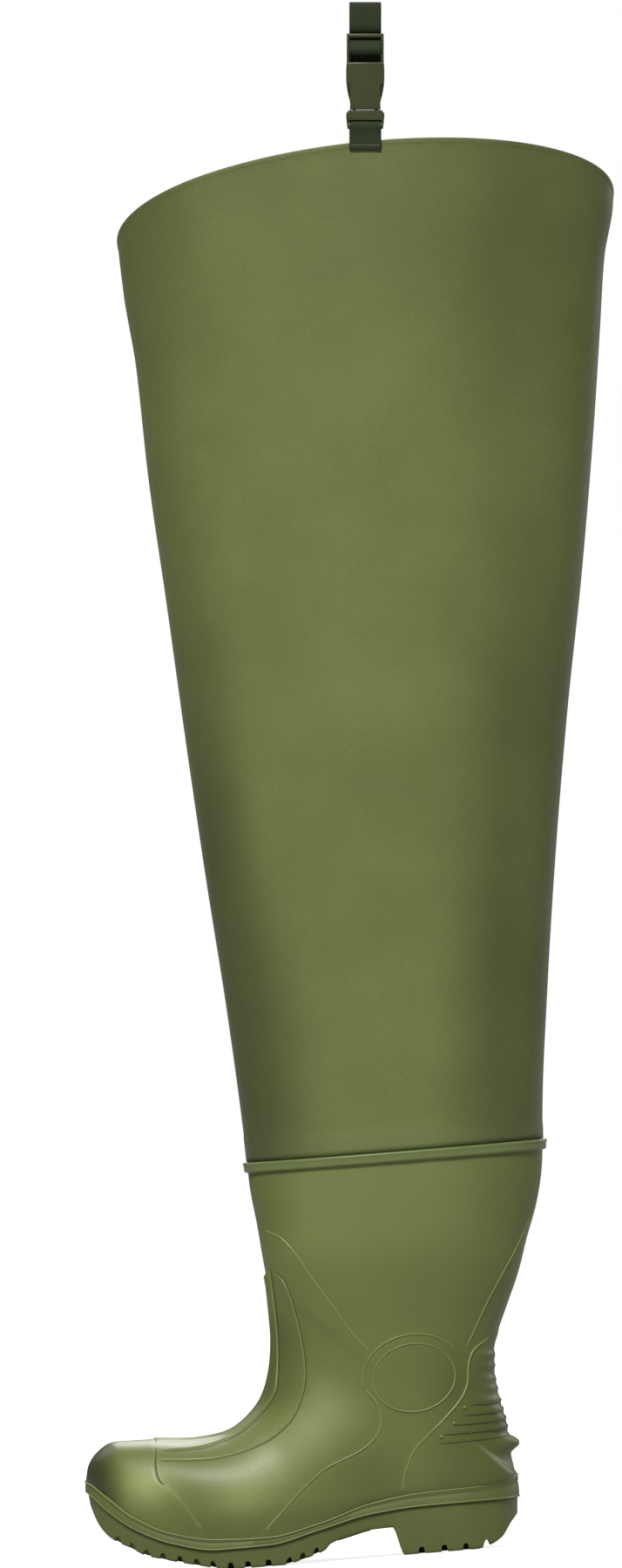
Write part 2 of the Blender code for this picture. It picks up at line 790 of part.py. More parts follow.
def build_insole(parts):
    side = LEDGE + WALL + BED_WALL + CLEAR
    rings = [
        sole_ring(side, lambda a, x: bed_height(x) + CLEAR),
        sole_ring(side, lambda a, x: bed_height(x) + CLEAR + 0.7 * INSOLE_THICK),
        sole_ring(side + 0.3 * INSOLE_THICK, lambda a, x: bed_height(x) + CLEAR + INSOLE_THICK),
    ]
    make_object("insole", ring_stack(rings), parts, (OLIVE_DARK, 0.9))


def ring_turns():
    """Angles round a level ring, at the same places as the points of a section."""
    quarter = 0.5 * math.pi
    turns = [quarter * k / CROWN_STEPS for k in range(CROWN_STEPS)]
    turns += [quarter + quarter * k / SIDE_STEPS for k in range(SIDE_STEPS + 1)]
    return turns + [-turn for turn in turns[-2:0:-1]]


def ellipse_ring(front, back, half, height):
    """Ring of the leg, with its height given as a function of the angle round it."""
    ring = []
    for turn in ring_turns():
        z = height(turn)
        near = front(z)
        far = back(z)
        ring.append(Vector((0.5 * (near + far) + 0.5 * (near - far) * math.cos(turn),
                            half(z) * math.sin(turn), z)))
    return ring


def lip_top():
    return BOOT_HEIGHT + LIP_HEIGHT


def rim_height(turn):
    level = 0.5 * (FRONT_RIM + BACK_RIM) + 0.5 * (FRONT_RIM - BACK_RIM) * math.cos(turn)
    return level + SIDE_RISE * math.sin(turn)


def shaft_table():
    top = 0.5 * (FRONT_RIM + BACK_RIM) + SIDE_RISE
    seat = lip_top() + SEAT_RUN
    rows = [(BOOT_HEIGHT, shin_x(BOOT_HEIGHT), back_x(BOOT_HEIGHT), lip_girth()),
            (seat, shin_x(seat), back_x(seat), lip_girth())]
    for rise, front, back, width in SHAFT_ROWS:
        rows.append((seat + rise * (top - seat), front * SHAFT_DEPTH, back * SHAFT_DEPTH,
                     0.5 * width * SHAFT_WIDTH))
    return rows


def shaft_ring(table, height, offset):
    return ellipse_ring(lambda z: smooth_curve(table, 1, z) + offset,
                        lambda z: smooth_curve(table, 2, z) - offset,
                        lambda z: smooth_curve(table, 3, z) + offset, height)


def build_shaft(parts):
    """Fabric tube, welded round the lip of the boot and cut slantwise at the rim."""
    table = shaft_table()
    start = BOOT_HEIGHT + CLEAR
    stops = [0.0, 0.022, 0.07, 0.17, 0.30, 0.43, 0.56, 0.69, 0.81, 0.92]
    outer = []
    inner = []
    for stop in stops:
        def height(turn, stop=stop):
            return start + stop * (rim_height(turn) - start)
        outer.append(shaft_ring(table, height, 0.0))
        inner.append(shaft_ring(table, height, -FABRIC))
    for below, rise in ((HEM_HEIGHT + HEM_RISE, 0.0), (HEM_HEIGHT, HEM_RISE), (0.0, HEM_RISE)):
        def hem(turn, below=below):
            return rim_height(turn) - below
        outer.append(shaft_ring(table, hem, rise))
        inner.append(shaft_ring(table, hem, -FABRIC))
    make_object("shaft", tube_wall(outer, inner), parts, (OLIVE, 0.6))


def build_bead(parts):
    """Weld bead round the boot, just under the fabric's edge."""
    low = BOOT_HEIGHT - BEAD_HEIGHT
    outer = []
    inner = []
    for share, rise in ((0.0, 0.25), (0.25, 0.85), (0.5, 1.0), (0.75, 0.85), (1.0, 0.25)):
        z = low + share * BEAD_HEIGHT
        outer.append(leg_ring_section(z, CLEAR + rise * BEAD_RISE)[:-1])
        inner.append(leg_ring_section(z, CLEAR)[:-1])
    make_object("seam_bead", tube_wall(outer, [inner[0], inner[-1]]), parts, (OLIVE, 0.5))


def hanger_matrix():
    """Hanger's own frame: X across the webbing, Y out of the shaft, Z up along it from the rim."""
    front = SHAFT_ROWS[-1][1] * SHAFT_DEPTH
    back = SHAFT_ROWS[-1][2] * SHAFT_DEPTH
    turn = math.acos((2.0 * HANGER_SHIFT - front - back) / (front - back))
    rim = Vector((HANGER_SHIFT, 0.5 * SHAFT_WIDTH, rim_height(turn)))
    return Matrix.Translation(rim) @ Matrix.Rotation(-HANGER_LEAN, 4, "Y")


def ribbon(path, thickness, width, closed):
    """Flat webbing swept along a path of (out, up) points in the hanger's frame."""
    bm = bmesh.new()
    count = len(path)
    rings = []
    for k in range(count):
        ahead = path[(k + 1) % count] if closed else path[min(k + 1, count - 1)]
        behind = path[k - 1] if closed else path[max(k - 1, 0)]
        run = (Vector(ahead) - Vector(behind)).normalized()
        side = Vector((-run.y, run.x)) * 0.5 * thickness
        ring = []
        for across, sign in ((-0.5, -1), (0.5, -1), (0.5, 1), (-0.5, 1)):
            out = path[k][0] + sign * side.x
            ring.append(bm.verts.new((across * width, out, path[k][1] + sign * side.y)))
        rings.append(ring)
    pairs = list(zip(rings, rings[1:]))
    if closed:
        pairs.append((rings[-1], rings[0]))
    else:
        bm.faces.new(rings[0])
        bm.faces.new(rings[-1])
    for a, b in pairs:
        for k in range(4):
            n = (k + 1) % 4
            bm.faces.new([a[k], a[n], b[n], b[k]])
    finish_mesh(bm)
    return bm


def bar_wrap():
    """Middle of the webbing from the middle of the square bar that it turns round."""
    return math.sqrt(0.5) * BAR + CLEAR + 0.5 * WEB_THICK


def hanger_centre():
    """Middle of the wall that the hanger's legs hold, out from the hanger's frame."""
    return 0.5 * (HEM_RISE - FABRIC - WALL_BOW)


def build_hanger(parts):
    """Webbing folded over the male buckle's bar, with a leg each side of the rim."""
    matrix = hanger_matrix()
    middle = hanger_centre()
    leg = 0.5 * (FABRIC + HEM_RISE + WALL_BOW) + CLEAR + 0.5 * WEB_THICK
    around = bar_wrap()
    path = [(middle + leg, -OUTER_LEG), (middle + leg, 0.0), (middle + leg, BAR_HEIGHT - 1.3 * around)]
    for k in range(0, 7):
        turn = math.pi * k / 6
        path.append((middle + around * math.cos(turn), BAR_HEIGHT + around * math.sin(turn)))
    path += [(middle - leg, BAR_HEIGHT - 1.3 * around), (middle - leg, 0.0), (middle - leg, -INNER_LEG)]
    bm = ribbon(path, WEB_THICK, WEB_WIDTH, False)
    bmesh.ops.transform(bm, matrix=matrix, verts=bm.verts)
    make_object("hanger_webbing", bm, parts, (OLIVE_WEB, 0.85))


def place_box(bm, x0, x1, y0, y1, z0, z1):
    add_box(bm, Matrix.Translation((0.5 * (x0 + x1), 0.5 * (y0 + y1), 0.5 * (z0 + z1))),
            (abs(x1 - x0), abs(y1 - y0), abs(z1 - z0)))


def plate(outline, thickness, middle):
    """Flat plate of the buckle: outline of (half width, up) rows, mirrored across."""
    bm = bmesh.new()
    ring = [(w, z) for w, z in outline] + [(-w, z) for w, z in reversed(outline)]
    faces = []
    for sign in (-0.5, 0.5):
        faces.append([bm.verts.new((w, middle + sign * thickness, z)) for w, z in ring])
    count = len(ring)
    bm.faces.new(faces[0])
    bm.faces.new(faces[1])
    for k in range(count):
        n = (k + 1) % count
        bm.faces.new([faces[0][k], faces[0][n], faces[1][n], faces[1][k]])
    bmesh.ops.recalc_face_normals(bm, faces=bm.faces)
    return bm


def cutter_in_frame(name, bm, cutters, matrix):
    bmesh.ops.transform(bm, matrix=matrix, verts=bm.verts)
    bmesh.ops.recalc_face_normals(bm, faces=bm.faces)
    return make_object(name, bm, cutters)


def build_buckle(parts, cutters):
    """Side-release buckle, fastened: a male half on the hanger, a female half on the belt loop."""
    matrix = hanger_matrix()
    middle = hanger_centre()
    half = 0.5 * BUCKLE_WIDTH
    flare = half - 0.5 * WAIST_WIDTH
    body_rows = [(half - flare, BODY_BOTTOM), (half - flare, BODY_BOTTOM + WAIST_RUN),
                 (half - 0.4 * flare, BODY_BOTTOM + 2.5 * WAIST_RUN),
                 (half, BODY_BOTTOM + 4.2 * WAIST_RUN), (half, BODY_TOP)]
    body = plate(body_rows, BUCKLE_THICK, middle)
    bmesh.ops.transform(body, matrix=matrix, verts=body.verts)
    female = make_object("buckle_female", body, parts, (OLIVE_DARK, 0.45))
    ladder = bmesh.new()
    place_box(ladder, -0.5 * FRAME_WIDTH, 0.5 * FRAME_WIDTH, middle - 0.5 * BAR, middle + 0.5 * BAR,
              BODY_TOP - BUCKLE_WALL, TOP_BAR + 0.5 * BAR)
    boolean(female, cutter_in_frame("ladder_frame", ladder, cutters, matrix), "UNION")
    cuts = bmesh.new()
    slot_half = 0.5 * FRAME_WIDTH - RAIL_WIDTH
    place_box(cuts, -slot_half, slot_half, middle - BUCKLE_THICK, middle + BUCKLE_THICK,
              BODY_TOP + CLEAR, MIDDLE_BAR - 0.5 * BAR)
    place_box(cuts, -slot_half, slot_half, middle - BUCKLE_THICK, middle + BUCKLE_THICK,
              MIDDLE_BAR + 0.5 * BAR, TOP_BAR - 0.5 * BAR)
    boolean(female, cutter_in_frame("ladder_slots", cuts, cutters, matrix), "DIFFERENCE")
    socket = bmesh.new()
    inside = 0.5 * WAIST_WIDTH - BUCKLE_WALL
    deep = 0.5 * BUCKLE_THICK - BUCKLE_WALL
    place_box(socket, -inside, inside, middle - deep, middle + deep, BODY_BOTTOM - BUCKLE_WALL,
              BODY_TOP - 2.0 * BUCKLE_WALL)
    boolean(female, cutter_in_frame("buckle_socket", socket, cutters, matrix), "DIFFERENCE")
    windows = bmesh.new()
    near = inside - 0.5 * BUCKLE_WALL
    window_half = 0.5 * WINDOW_DEPTH
    for sign in (-1.0, 1.0):
        place_box(windows, sign * near, sign * (half + BUCKLE_WALL), middle - window_half,
                  middle + window_half, WINDOW_BOTTOM, WINDOW_TOP)
    boolean(female, cutter_in_frame("buckle_windows", windows, cutters, matrix), "DIFFERENCE")
    base_rows = [(0.5 * FRAME_WIDTH, BAR_HEIGHT - 0.5 * BAR), (half, BASE_BOTTOM),
                 (half, BASE_BOTTOM + BAR), (0.5 * WAIST_WIDTH, BODY_BOTTOM - CLEAR)]
    base = plate(base_rows, BAR, middle)
    bmesh.ops.transform(base, matrix=matrix, verts=base.verts)
    male = make_object("buckle_male", base, parts, (OLIVE_DARK, 0.45))
    hole = bmesh.new()
    hole_half = 0.5 * WEB_WIDTH + CLEAR
    place_box(hole, -hole_half, hole_half, middle - BAR, middle + BAR, BAR_HEIGHT + 0.5 * BAR,
              BASE_BOTTOM)
    boolean(male, cutter_in_frame("web_slot", hole, cutters, matrix), "DIFFERENCE")
    arms = bmesh.new()
    arm_deep = deep - CLEAR
    arm_out = inside - CLEAR
    for sign in (-1.0, 1.0):
        place_box(arms, sign * (arm_out - ARM_WIDTH), sign * arm_out, middle - arm_deep,
                  middle + arm_deep, BODY_BOTTOM - BAR, ARM_TOP)
    boolean(male, cutter_in_frame("arms", arms, cutters, matrix), "UNION")
    heads = bmesh.new()
    for sign in (-1.0, 1.0):
        place_box(heads, sign * (arm_out - 0.5 * ARM_WIDTH), sign * (half - HEAD_SINK),
                  middle - arm_deep, middle + arm_deep, WINDOW_BOTTOM + CLEAR, WINDOW_TOP - CLEAR)
    boolean(male, cutter_in_frame("heads", heads, cutters, matrix), "UNION")


def build_belt_loop(parts):
    """Webbing ring through the ladder: round its middle bar, behind its top bar, open for a belt."""
    matrix = hanger_matrix()
    middle = hanger_centre()
    around = bar_wrap()
    behind = middle - around
    far = behind - WEB_THICK - CLEAR
    front_leg = behind + 0.5 * (BELT_GAP + WEB_THICK)
    back_leg = front_leg - BELT_GAP - WEB_THICK
    path = []
    for degrees in (60, 25, -10, -45, -90, -135, -180):
        turn = math.radians(degrees)
        path.append((middle + around * math.cos(turn), MIDDLE_BAR + around * math.sin(turn)))
    rear = [(far, MIDDLE_BAR + LOOP_TURN), (far, TOP_BAR + LOOP_SHIFT),
            (back_leg, TOP_BAR + LOOP_SPREAD), (back_leg, LOOP_TOP - LOOP_TURN)]
    top_middle = 0.5 * (front_leg + back_leg)
    bow = 0.5 * (front_leg - back_leg)
    crown = []
    for k in range(1, 6):
        turn = math.pi - math.pi * k / 6
        crown.append((top_middle + bow * math.cos(turn),
                      LOOP_TOP - 0.5 * WEB_THICK - bow + bow * math.sin(turn)))
    front = [(front_leg, LOOP_TOP - LOOP_TURN - LOOP_SHIFT), (front_leg, TOP_BAR + LOOP_SPREAD),
             (behind, TOP_BAR + LOOP_SHIFT), (behind, TOP_BAR - 2.0 * LOOP_SHIFT)]
    path += rear + crown + front
    bm = ribbon(path, WEB_THICK, WEB_WIDTH, True)
    bmesh.ops.transform(bm, matrix=matrix, verts=bm.verts)
    make_object("belt_loop", bm, parts, (OLIVE_WEB, 0.85))


def main():
    clear_scene()
    parts = new_collection("hip_wader")
    cutters = new_collection("cutters")
    build_upper(parts, cutters)
    build_outsole(parts, cutters)
    build_insole(parts)
    build_shaft(parts)
    build_bead(parts)
    build_hanger(parts)
    build_buckle(parts, cutters)
    build_belt_loop(parts)


main()
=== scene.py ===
import math

import bmesh
import bpy
import numpy as np
from mathutils import Matrix, Vector
from mathutils.bvhtree import BVHTree


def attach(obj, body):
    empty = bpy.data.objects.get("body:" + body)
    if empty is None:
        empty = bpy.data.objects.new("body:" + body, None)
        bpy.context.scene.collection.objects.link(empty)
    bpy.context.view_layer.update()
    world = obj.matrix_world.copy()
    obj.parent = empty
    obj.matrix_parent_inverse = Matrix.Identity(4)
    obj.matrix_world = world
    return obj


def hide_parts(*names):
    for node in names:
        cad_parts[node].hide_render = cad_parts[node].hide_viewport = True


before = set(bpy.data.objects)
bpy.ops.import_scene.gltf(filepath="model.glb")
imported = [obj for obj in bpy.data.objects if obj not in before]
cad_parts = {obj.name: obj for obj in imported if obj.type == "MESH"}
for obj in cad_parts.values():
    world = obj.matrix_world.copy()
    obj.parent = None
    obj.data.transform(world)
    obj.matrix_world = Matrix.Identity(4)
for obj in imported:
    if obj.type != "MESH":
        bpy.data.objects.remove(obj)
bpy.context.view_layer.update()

# Camera, floor and light. The boot is seen square on to its outer side, with the toe hanging
# 4.6 degrees, and the picture is 714 x 1800 pixels at 0.585 mm a pixel. Soft boxes stand in
# front of it, the larger one towards the toe, over a pale floor in a white room.
PIXEL = 0.000585
PICTURE_HEIGHT = 1800
ROLL = math.radians(4.6)
DISTANCE = 16.0
camera_right = Vector((-math.cos(ROLL), 0.0, -math.sin(ROLL)))
camera_up = Vector((-math.sin(ROLL), 0.0, math.cos(ROLL)))
camera_back = Vector((0.0, 1.0, 0.0))
camera_data = bpy.data.cameras.new("camera")
camera_data.sensor_width = 36.0
camera_data.lens = 0.5 * camera_data.sensor_width * DISTANCE / (0.5 * PICTURE_HEIGHT * PIXEL)
camera_data.clip_end = 100.0
camera = bpy.data.objects.new("camera", camera_data)
bpy.context.scene.collection.objects.link(camera)
turn = Matrix((camera_right, camera_up, camera_back)).transposed().to_4x4()
camera.matrix_world = Matrix.Translation(Vector((0.0468, DISTANCE, 0.5199))) @ turn
bpy.context.scene.camera = camera
bpy.context.scene.view_settings.view_transform = "Standard"


def soft_box(name, place, aim, size, power):
    data = bpy.data.lights.new(name, "AREA")
    data.shape = "RECTANGLE"
    data.size, data.size_y = size
    data.energy = power
    lamp = bpy.data.objects.new(name, data)
    bpy.context.scene.collection.objects.link(lamp)
    lamp.location = place
    lamp.rotation_euler = (Vector(place) - Vector(aim)).to_track_quat("Z", "Y").to_euler()


soft_box("high_front_box", (1.3, 6.9, 8.7), (0.0, 0.0, 0.4), (3.4, 2.6), 1240.0)
soft_box("toe_rim_box", (2.6, -3.0, 3.4), (0.0, 0.0, 0.5), (1.0, 2.4), 30.0)
soft_box("heel_rim_box", (-3.0, -2.6, 1.6), (0.0, 0.0, 0.5), (1.0, 2.4), 34.0)
soft_box("rear_box", (-0.4, -4.0, 3.4), (0.0, 0.0, 0.45), (2.4, 2.0), 150.0)


def feed(tree, socket, value):
    """Links another socket to this one, or gives it a plain value."""
    if isinstance(value, bpy.types.NodeSocket):
        tree.links.new(value, socket)
    else:
        socket.default_value = value


def plug(tree, node, **values):
    """Feeds a node's sockets by their names."""
    for key, value in values.items():
        feed(tree, node.inputs[key.replace("_", " ")], value)


def put(tree, kind, settings=(), **values):
    """Node of a kind, with its settings and what its sockets are fed."""
    made = tree.nodes.new("ShaderNode" + kind)
    for key, value in dict(settings).items():
        setattr(made, key, value)
    plug(tree, made, **values)
    return made


def sums(tree, operation, *values):
    """Result of a math node that is fed sockets or numbers."""
    made = put(tree, "Math", {"operation": operation})
    for socket, value in zip(made.inputs, values):
        feed(tree, socket, value)
    return made.outputs[0]


def new_finish(name, **values):
    """Material with its nodes and its shader, whose own sockets are set directly."""
    made = bpy.data.materials.new(name)
    made.use_nodes = True
    shader = made.node_tree.nodes["Principled BSDF"]
    plug(made.node_tree, shader, **values)
    return made, made.node_tree, shader


room = bpy.data.worlds.new("white_room")
room.use_nodes = True
bpy.context.scene.world = room
tree = room.node_tree
tree.nodes.clear()
seen = put(tree, "MixShader", Fac=put(tree, "LightPath").outputs["Is Camera Ray"])
for socket, colour, strength in ((seen.inputs[1], (0.95, 1.0, 0.98, 1.0), 0.1),
                                 (seen.inputs[2], (1.0, 1.0, 1.0, 1.0), 1.0)):
    feed(tree, socket, put(tree, "Background", Color=colour, Strength=strength).outputs[0])
put(tree, "OutputWorld", Surface=seen.outputs[0])

bm = bmesh.new()
bmesh.ops.create_circle(bm, cap_ends=True, radius=9.0, segments=64)
bmesh.ops.translate(bm, vec=(0.0, 0.0, -0.0003), verts=bm.verts)
floor_mesh = bpy.data.meshes.new("pale_floor")
bm.to_mesh(floor_mesh)
bm.free()
floor = bpy.data.objects.new("pale_floor", floor_mesh)
bpy.context.scene.collection.objects.link(floor)
floor_finish, tree, shader = new_finish(
    "pale_floor", Base_Color=(0.42, 0.42, 0.42, 1.0), Roughness=0.9, Specular_IOR_Level=0.1,
    Emission_Color=(1.0, 1.0, 1.0, 1.0))
away = put(tree, "VectorMath", {"operation": "LENGTH"},
           Vector=put(tree, "TexCoord").outputs["Object"])
glow = put(tree, "MapRange", Value=away.outputs["Value"], From_Min=0.35, From_Max=1.2,
           To_Min=0.84, To_Max=1.05)
plug(tree, shader, Emission_Strength=sums(
    tree, "MULTIPLY", put(tree, "LightPath").outputs["Is Camera Ray"], glow.outputs["Result"]))
floor_mesh.materials.append(floor_finish)

# Moulded boot: foamed rubber shot in one piece, 3.5 mm thick, over a last. Toe cap, quarter,
# counter, ankle pad, shin rib and heel ribs are steps of the mould, with a fine raised line
# along their edges. Its sections are the ones that the CAD wall is made from.
SOLE_LENGTH = 0.2906
HEEL_REACH = 0.0546
BALL_WIDTH = 0.106
BOOT_HEIGHT = 0.270
BUMPER_HEIGHT = 0.0656
WALL = 0.0035
CLEAR = 0.0003
LEDGE = 0.0015
FABRIC = 0.001
LIP_HEIGHT = 0.014
CROWN_STEPS = 50
SIDE_STEPS = 28
OUTLINE = [
    # angle, outer, inner, rand, step
    (0.0, -0.123, -0.123, 1.000, 0.889), (12.5, 0.033, -0.278, 0.968, 0.838),
    (25.0, 0.169, -0.406, 0.831, 0.678), (38.0, 0.297, -0.483, 0.607, 0.473),
    (52.0, 0.394, -0.526, 0.415, 0.299), (66.0, 0.462, -0.528, 0.320, 0.203),
    (80.0, 0.481, -0.486, 0.302, 0.210), (94.0, 0.446, -0.413, 0.401, 0.323),
    (108.0, 0.396, -0.362, 0.558, 0.439), (122.0, 0.377, -0.364, 0.622, 0.479),
    (136.0, 0.370, -0.368, 0.636, 0.485), (150.0, 0.307, -0.307, 0.646, 0.485),
    (160.0, 0.226, -0.226, 0.671, 0.485), (170.0, 0.121, -0.121, 0.713, 0.485),
    (180.0, 0.000, 0.000, 0.726, 0.485),
]
FOOT_ROWS = [
    # angle, along, rise, girth, widest, square
    (0.0, 0.9948, 0.0000, 0.00, 0.85, 0.92), (12.5, 0.987, 0.0436, 0.05, 0.84, 0.88),
    (25.0, 0.967, 0.0833, 0.10, 0.82, 0.85), (38.0, 0.921, 0.1163, 0.17, 0.80, 0.83),
    (52.0, 0.835, 0.1150, 0.24, 0.78, 0.83), (66.0, 0.749, 0.1057, 0.32, 0.75, 0.86),
    (80.0, 0.670, 0.1163, 0.39, 0.70, 0.96), (94.0, 0.602, 0.1757, 0.415, 0.66, 1.06),
    (104.0, 0.568, 0.2391, 0.41, 0.62, 1.10), (119.0, 0.545, 0.3488, 0.40, 0.60, 1.10),
    (137.0, 0.539, 0.4373, 0.396, 0.57, 1.08), (159.0, 0.540, 0.5205, 0.396, 0.54, 1.05),
    (180.0, 0.541, 0.5905, 0.396, 0.52, 1.02),
]
LEG_ROWS = [
    # front height, back height, girth
    (0.690, 0.1785, 0.396), (0.706, 0.223, 0.396), (0.720, 0.252, 0.396), (0.734, 0.281, 0.396),
    (0.752, 0.318, 0.396), (0.772, 0.365, 0.396), (0.795, 0.425, 0.396), (0.818, 0.486, 0.396),
    (0.842, 0.550, 0.397), (0.868, 0.630, 0.400), (0.894, 0.715, 0.407), (0.924, 0.812, 0.416),
    (0.974, 0.974, 0.427),
]
TOP_GIRTH = LEG_ROWS[-1][2]
SHIN = [
    # height, along
    (0.690, 0.5410), (0.759, 0.5480), (0.844, 0.5550),
    (0.941, 0.5650), (1.007, 0.5670), (1.060, 0.5690),
]
HEEL_BACK = [
    # height, along
    (0.176, 0.0090), (0.230, 0.0165), (0.306, 0.0215), (0.359, 0.0310), (0.430, 0.0385),
    (0.489, 0.0335), (0.533, 0.0190), (0.600, -0.0083), (0.674, -0.0382), (0.759, -0.0647),
    (0.844, -0.0933), (0.930, -0.1118), (1.015, -0.1204), (1.060, -0.1236),
]


def curve(rows, column):
    """Smooth line through one column of a table, read against its first column."""
    xs = [row[0] for row in rows]
    ys = [row[column] for row in rows]
    widths = [b - a for a, b in zip(xs, xs[1:])]
    rises = [(b - a) / w for a, b, w in zip(ys, ys[1:], widths)]
    slopes = [rises[0]]
    for before, after, wide, next_wide in zip(rises, rises[1:], widths, widths[1:]):
        if before * after <= 0.0:
            slopes.append(0.0)
        else:
            heavy, light = 2.0 * next_wide + wide, next_wide + 2.0 * wide
            slopes.append((heavy + light) / (heavy / before + light / after))
    slopes.append(rises[-1])

    def read(at):
        at = min(max(at, xs[0]), xs[-1])
        k = max(i for i in range(len(widths)) if xs[i] <= at)
        w = widths[k]
        t = (at - xs[k]) / w
        return (ys[k] * (1 + 2 * t) * (1 - t) ** 2 + slopes[k] * w * t * (1 - t) ** 2
                + ys[k + 1] * t * t * (3 - 2 * t) - slopes[k + 1] * w * t * t * (1 - t))
    return read


outer_edge, inner_edge = curve(OUTLINE, 1), curve(OUTLINE, 2)
rand_share, step_share = curve(OUTLINE, 3), curve(OUTLINE, 4)
ridge_along, ridge_rise = curve(FOOT_ROWS, 1), curve(FOOT_ROWS, 2)
row_girth, row_widest, row_square = curve(FOOT_ROWS, 3), curve(FOOT_ROWS, 4), curve(FOOT_ROWS, 5)
leg_back, leg_girth = curve(LEG_ROWS, 1), curve(LEG_ROWS, 2)
shin_along, back_along = curve(SHIN, 1), curve(HEEL_BACK, 1)


def clamp(value):
    """Value held between 0 and 1."""
    return min(1.0, max(0.0, value))


def along_x(share):
    return share * SOLE_LENGTH - HEEL_REACH


def share_of(x):
    return (x + HEEL_REACH) / SOLE_LENGTH


def angle_at(share):
    return math.degrees(math.acos(max(-1.0, min(1.0, 2.0 * share - 1.0))))


def x_at(angle):
    return along_x(0.5 + 0.5 * math.cos(math.radians(angle)))


def outline_point(angle, outer, inset=0.0):
    """Point of the sole's outline in plan, moved inwards by inset."""
    edge = outer_edge if outer else inner_edge

    def raw(at):
        return Vector((x_at(at), edge(at) * BALL_WIDTH))
    if angle <= 0.0:
        return raw(0.0) + Vector((-inset, 0.0))
    if angle >= 180.0:
        return raw(180.0) + Vector((inset, 0.0))
    tangent = raw(min(angle + 1.5, 180.0)) - raw(max(angle - 1.5, 0.0))
    inward = Vector((-tangent.y, tangent.x)) if outer else Vector((tangent.y, -tangent.x))
    return raw(angle) + inward.normalized() * inset


def section(ridge, girth, widest, square, outer_end, inner_end):
    """One section of the boot, from its outer end over the ridge to its inner end."""
    centre = 0.5 * (outer_end.y + inner_end.y)
    halves = []
    for side, end in ((1.0, outer_end), (-1.0, inner_end)):
        foot = abs(end.y - centre)
        half = max(girth, foot)
        run = []
        for step in range(1, CROWN_STEPS + 1):
            turned = 0.5 * math.pi * step / CROWN_STEPS
            run.append((widest * (1.0 - math.cos(turned) ** square),
                        half * math.sin(turned) ** square))
        for step in range(1, SIDE_STEPS + 1):
            turned = 0.5 * math.pi * step / SIDE_STEPS
            run.append((widest + (1.0 - widest) * math.sin(turned),
                        foot + (half - foot) * math.cos(turned)))
        points = []
        for down, out in run:
            spot = ridge.lerp(end, down)
            points.append(Vector((spot.x, centre + side * out, spot.z)))
        halves.append(points)
    return halves[0][::-1] + [Vector((ridge.x, centre, ridge.z))] + halves[1]


def foot_row(angle):
    top = rand_share(angle) * BUMPER_HEIGHT - CLEAR
    ends = []
    for outer in (True, False):
        spot = outline_point(angle, outer, LEDGE)
        ends.append(Vector((spot.x, spot.y, top)))
    ridge = Vector((along_x(ridge_along(angle)), 0.0,
                    BUMPER_HEIGHT + ridge_rise(angle) * (BOOT_HEIGHT - BUMPER_HEIGHT)))
    if angle <= 0.0:
        ridge = ends[0].copy()
    return section(ridge, row_girth(angle) * BALL_WIDTH, row_widest(angle), row_square(angle), *ends)


def leg_row(front_share):
    front, back = front_share * BOOT_HEIGHT, leg_back(front_share) * BOOT_HEIGHT
    ridge = Vector((along_x(shin_along(front_share)), 0.0, front))
    end = Vector((along_x(back_along(back / BOOT_HEIGHT)), 0.0, back))
    return section(ridge, leg_girth(front_share) * BALL_WIDTH, 0.5, 1.0, end, end)


def leg_ring(height, offset):
    """Level section of the leg, moved out by offset."""
    share = height / BOOT_HEIGHT
    front = Vector((along_x(shin_along(share)) + offset, 0.0, height))
    back = Vector((along_x(back_along(share)) - offset, 0.0, height))
    return section(front, TOP_GIRTH * BALL_WIDTH + offset, 0.5, 1.0, back, back)


def even_rows(make, start, stop, spacing):
    """Rows between two values, about evenly spaced along their ridge and their ends."""
    tries = np.linspace(start, stop, 240)
    marks = [(row[len(row) // 2], row[0], row[-1]) for row in map(make, tries)]
    travel = [0.0]
    for before, after in zip(marks, marks[1:]):
        travel.append(travel[-1] + max((b - a).length for a, b in zip(before, after)))
    count = max(2, round(travel[-1] / spacing))
    stations = np.interp(np.linspace(0.0, travel[-1], count + 1), travel, tries)
    return [make(station) for station in stations]


def ease(value, low, high):
    """0 below low, 1 above high, and a smooth step between."""
    t = np.clip((value - low) / (high - low), 0.0, 1.0)
    return t * t * (3.0 - 2.0 * t)


def step_up(value, low, high):
    """The same for a single number."""
    return float(ease(value, low, high))


def soften(rows, spread):
    """Rows eased into each other, apart from the toe's tip, the last rows and both edges."""
    table = np.array([[tuple(point) for point in row] for row in rows])
    count, wide = table.shape[:2]
    reach = int(3 * spread)
    eased, total = np.zeros_like(table), 0.0
    for shift in range(-reach, reach + 1):
        weight = math.exp(-0.5 * (shift / spread) ** 2)
        eased += weight * table[np.clip(np.arange(count) + shift, 0, count - 1)]
        total += weight
    row, column = np.arange(count), np.minimum(np.arange(wide), np.arange(wide)[::-1])
    hold = ease(row, 36, 62) * (1.0 - ease(row, count - 16, count - 5))
    share = hold[:, None, None] * ease(column, 0, 30)[None, :, None]
    return [[Vector(point) for point in row] for row in table + share * (eased / total - table)]


tip, cap_start = foot_row(0.0), foot_row(9.0)
boot_rows = [[a.lerp(b, k / 5) for a, b in zip(tip, cap_start)] for k in range(5)]
boot_rows += even_rows(foot_row, 9.0, 180.0, 0.0019)
boot_rows += even_rows(leg_row, 0.690, 0.974, 0.0020)[1:]
lip = FABRIC + CLEAR
boot_rows += [leg_ring(BOOT_HEIGHT - 0.0035, 0.0), leg_ring(BOOT_HEIGHT - 0.0007, 0.0),
              leg_ring(BOOT_HEIGHT, -lip), leg_ring(BOOT_HEIGHT + LIP_HEIGHT, -lip)]
boot_rows = soften(boot_rows, 4.0)


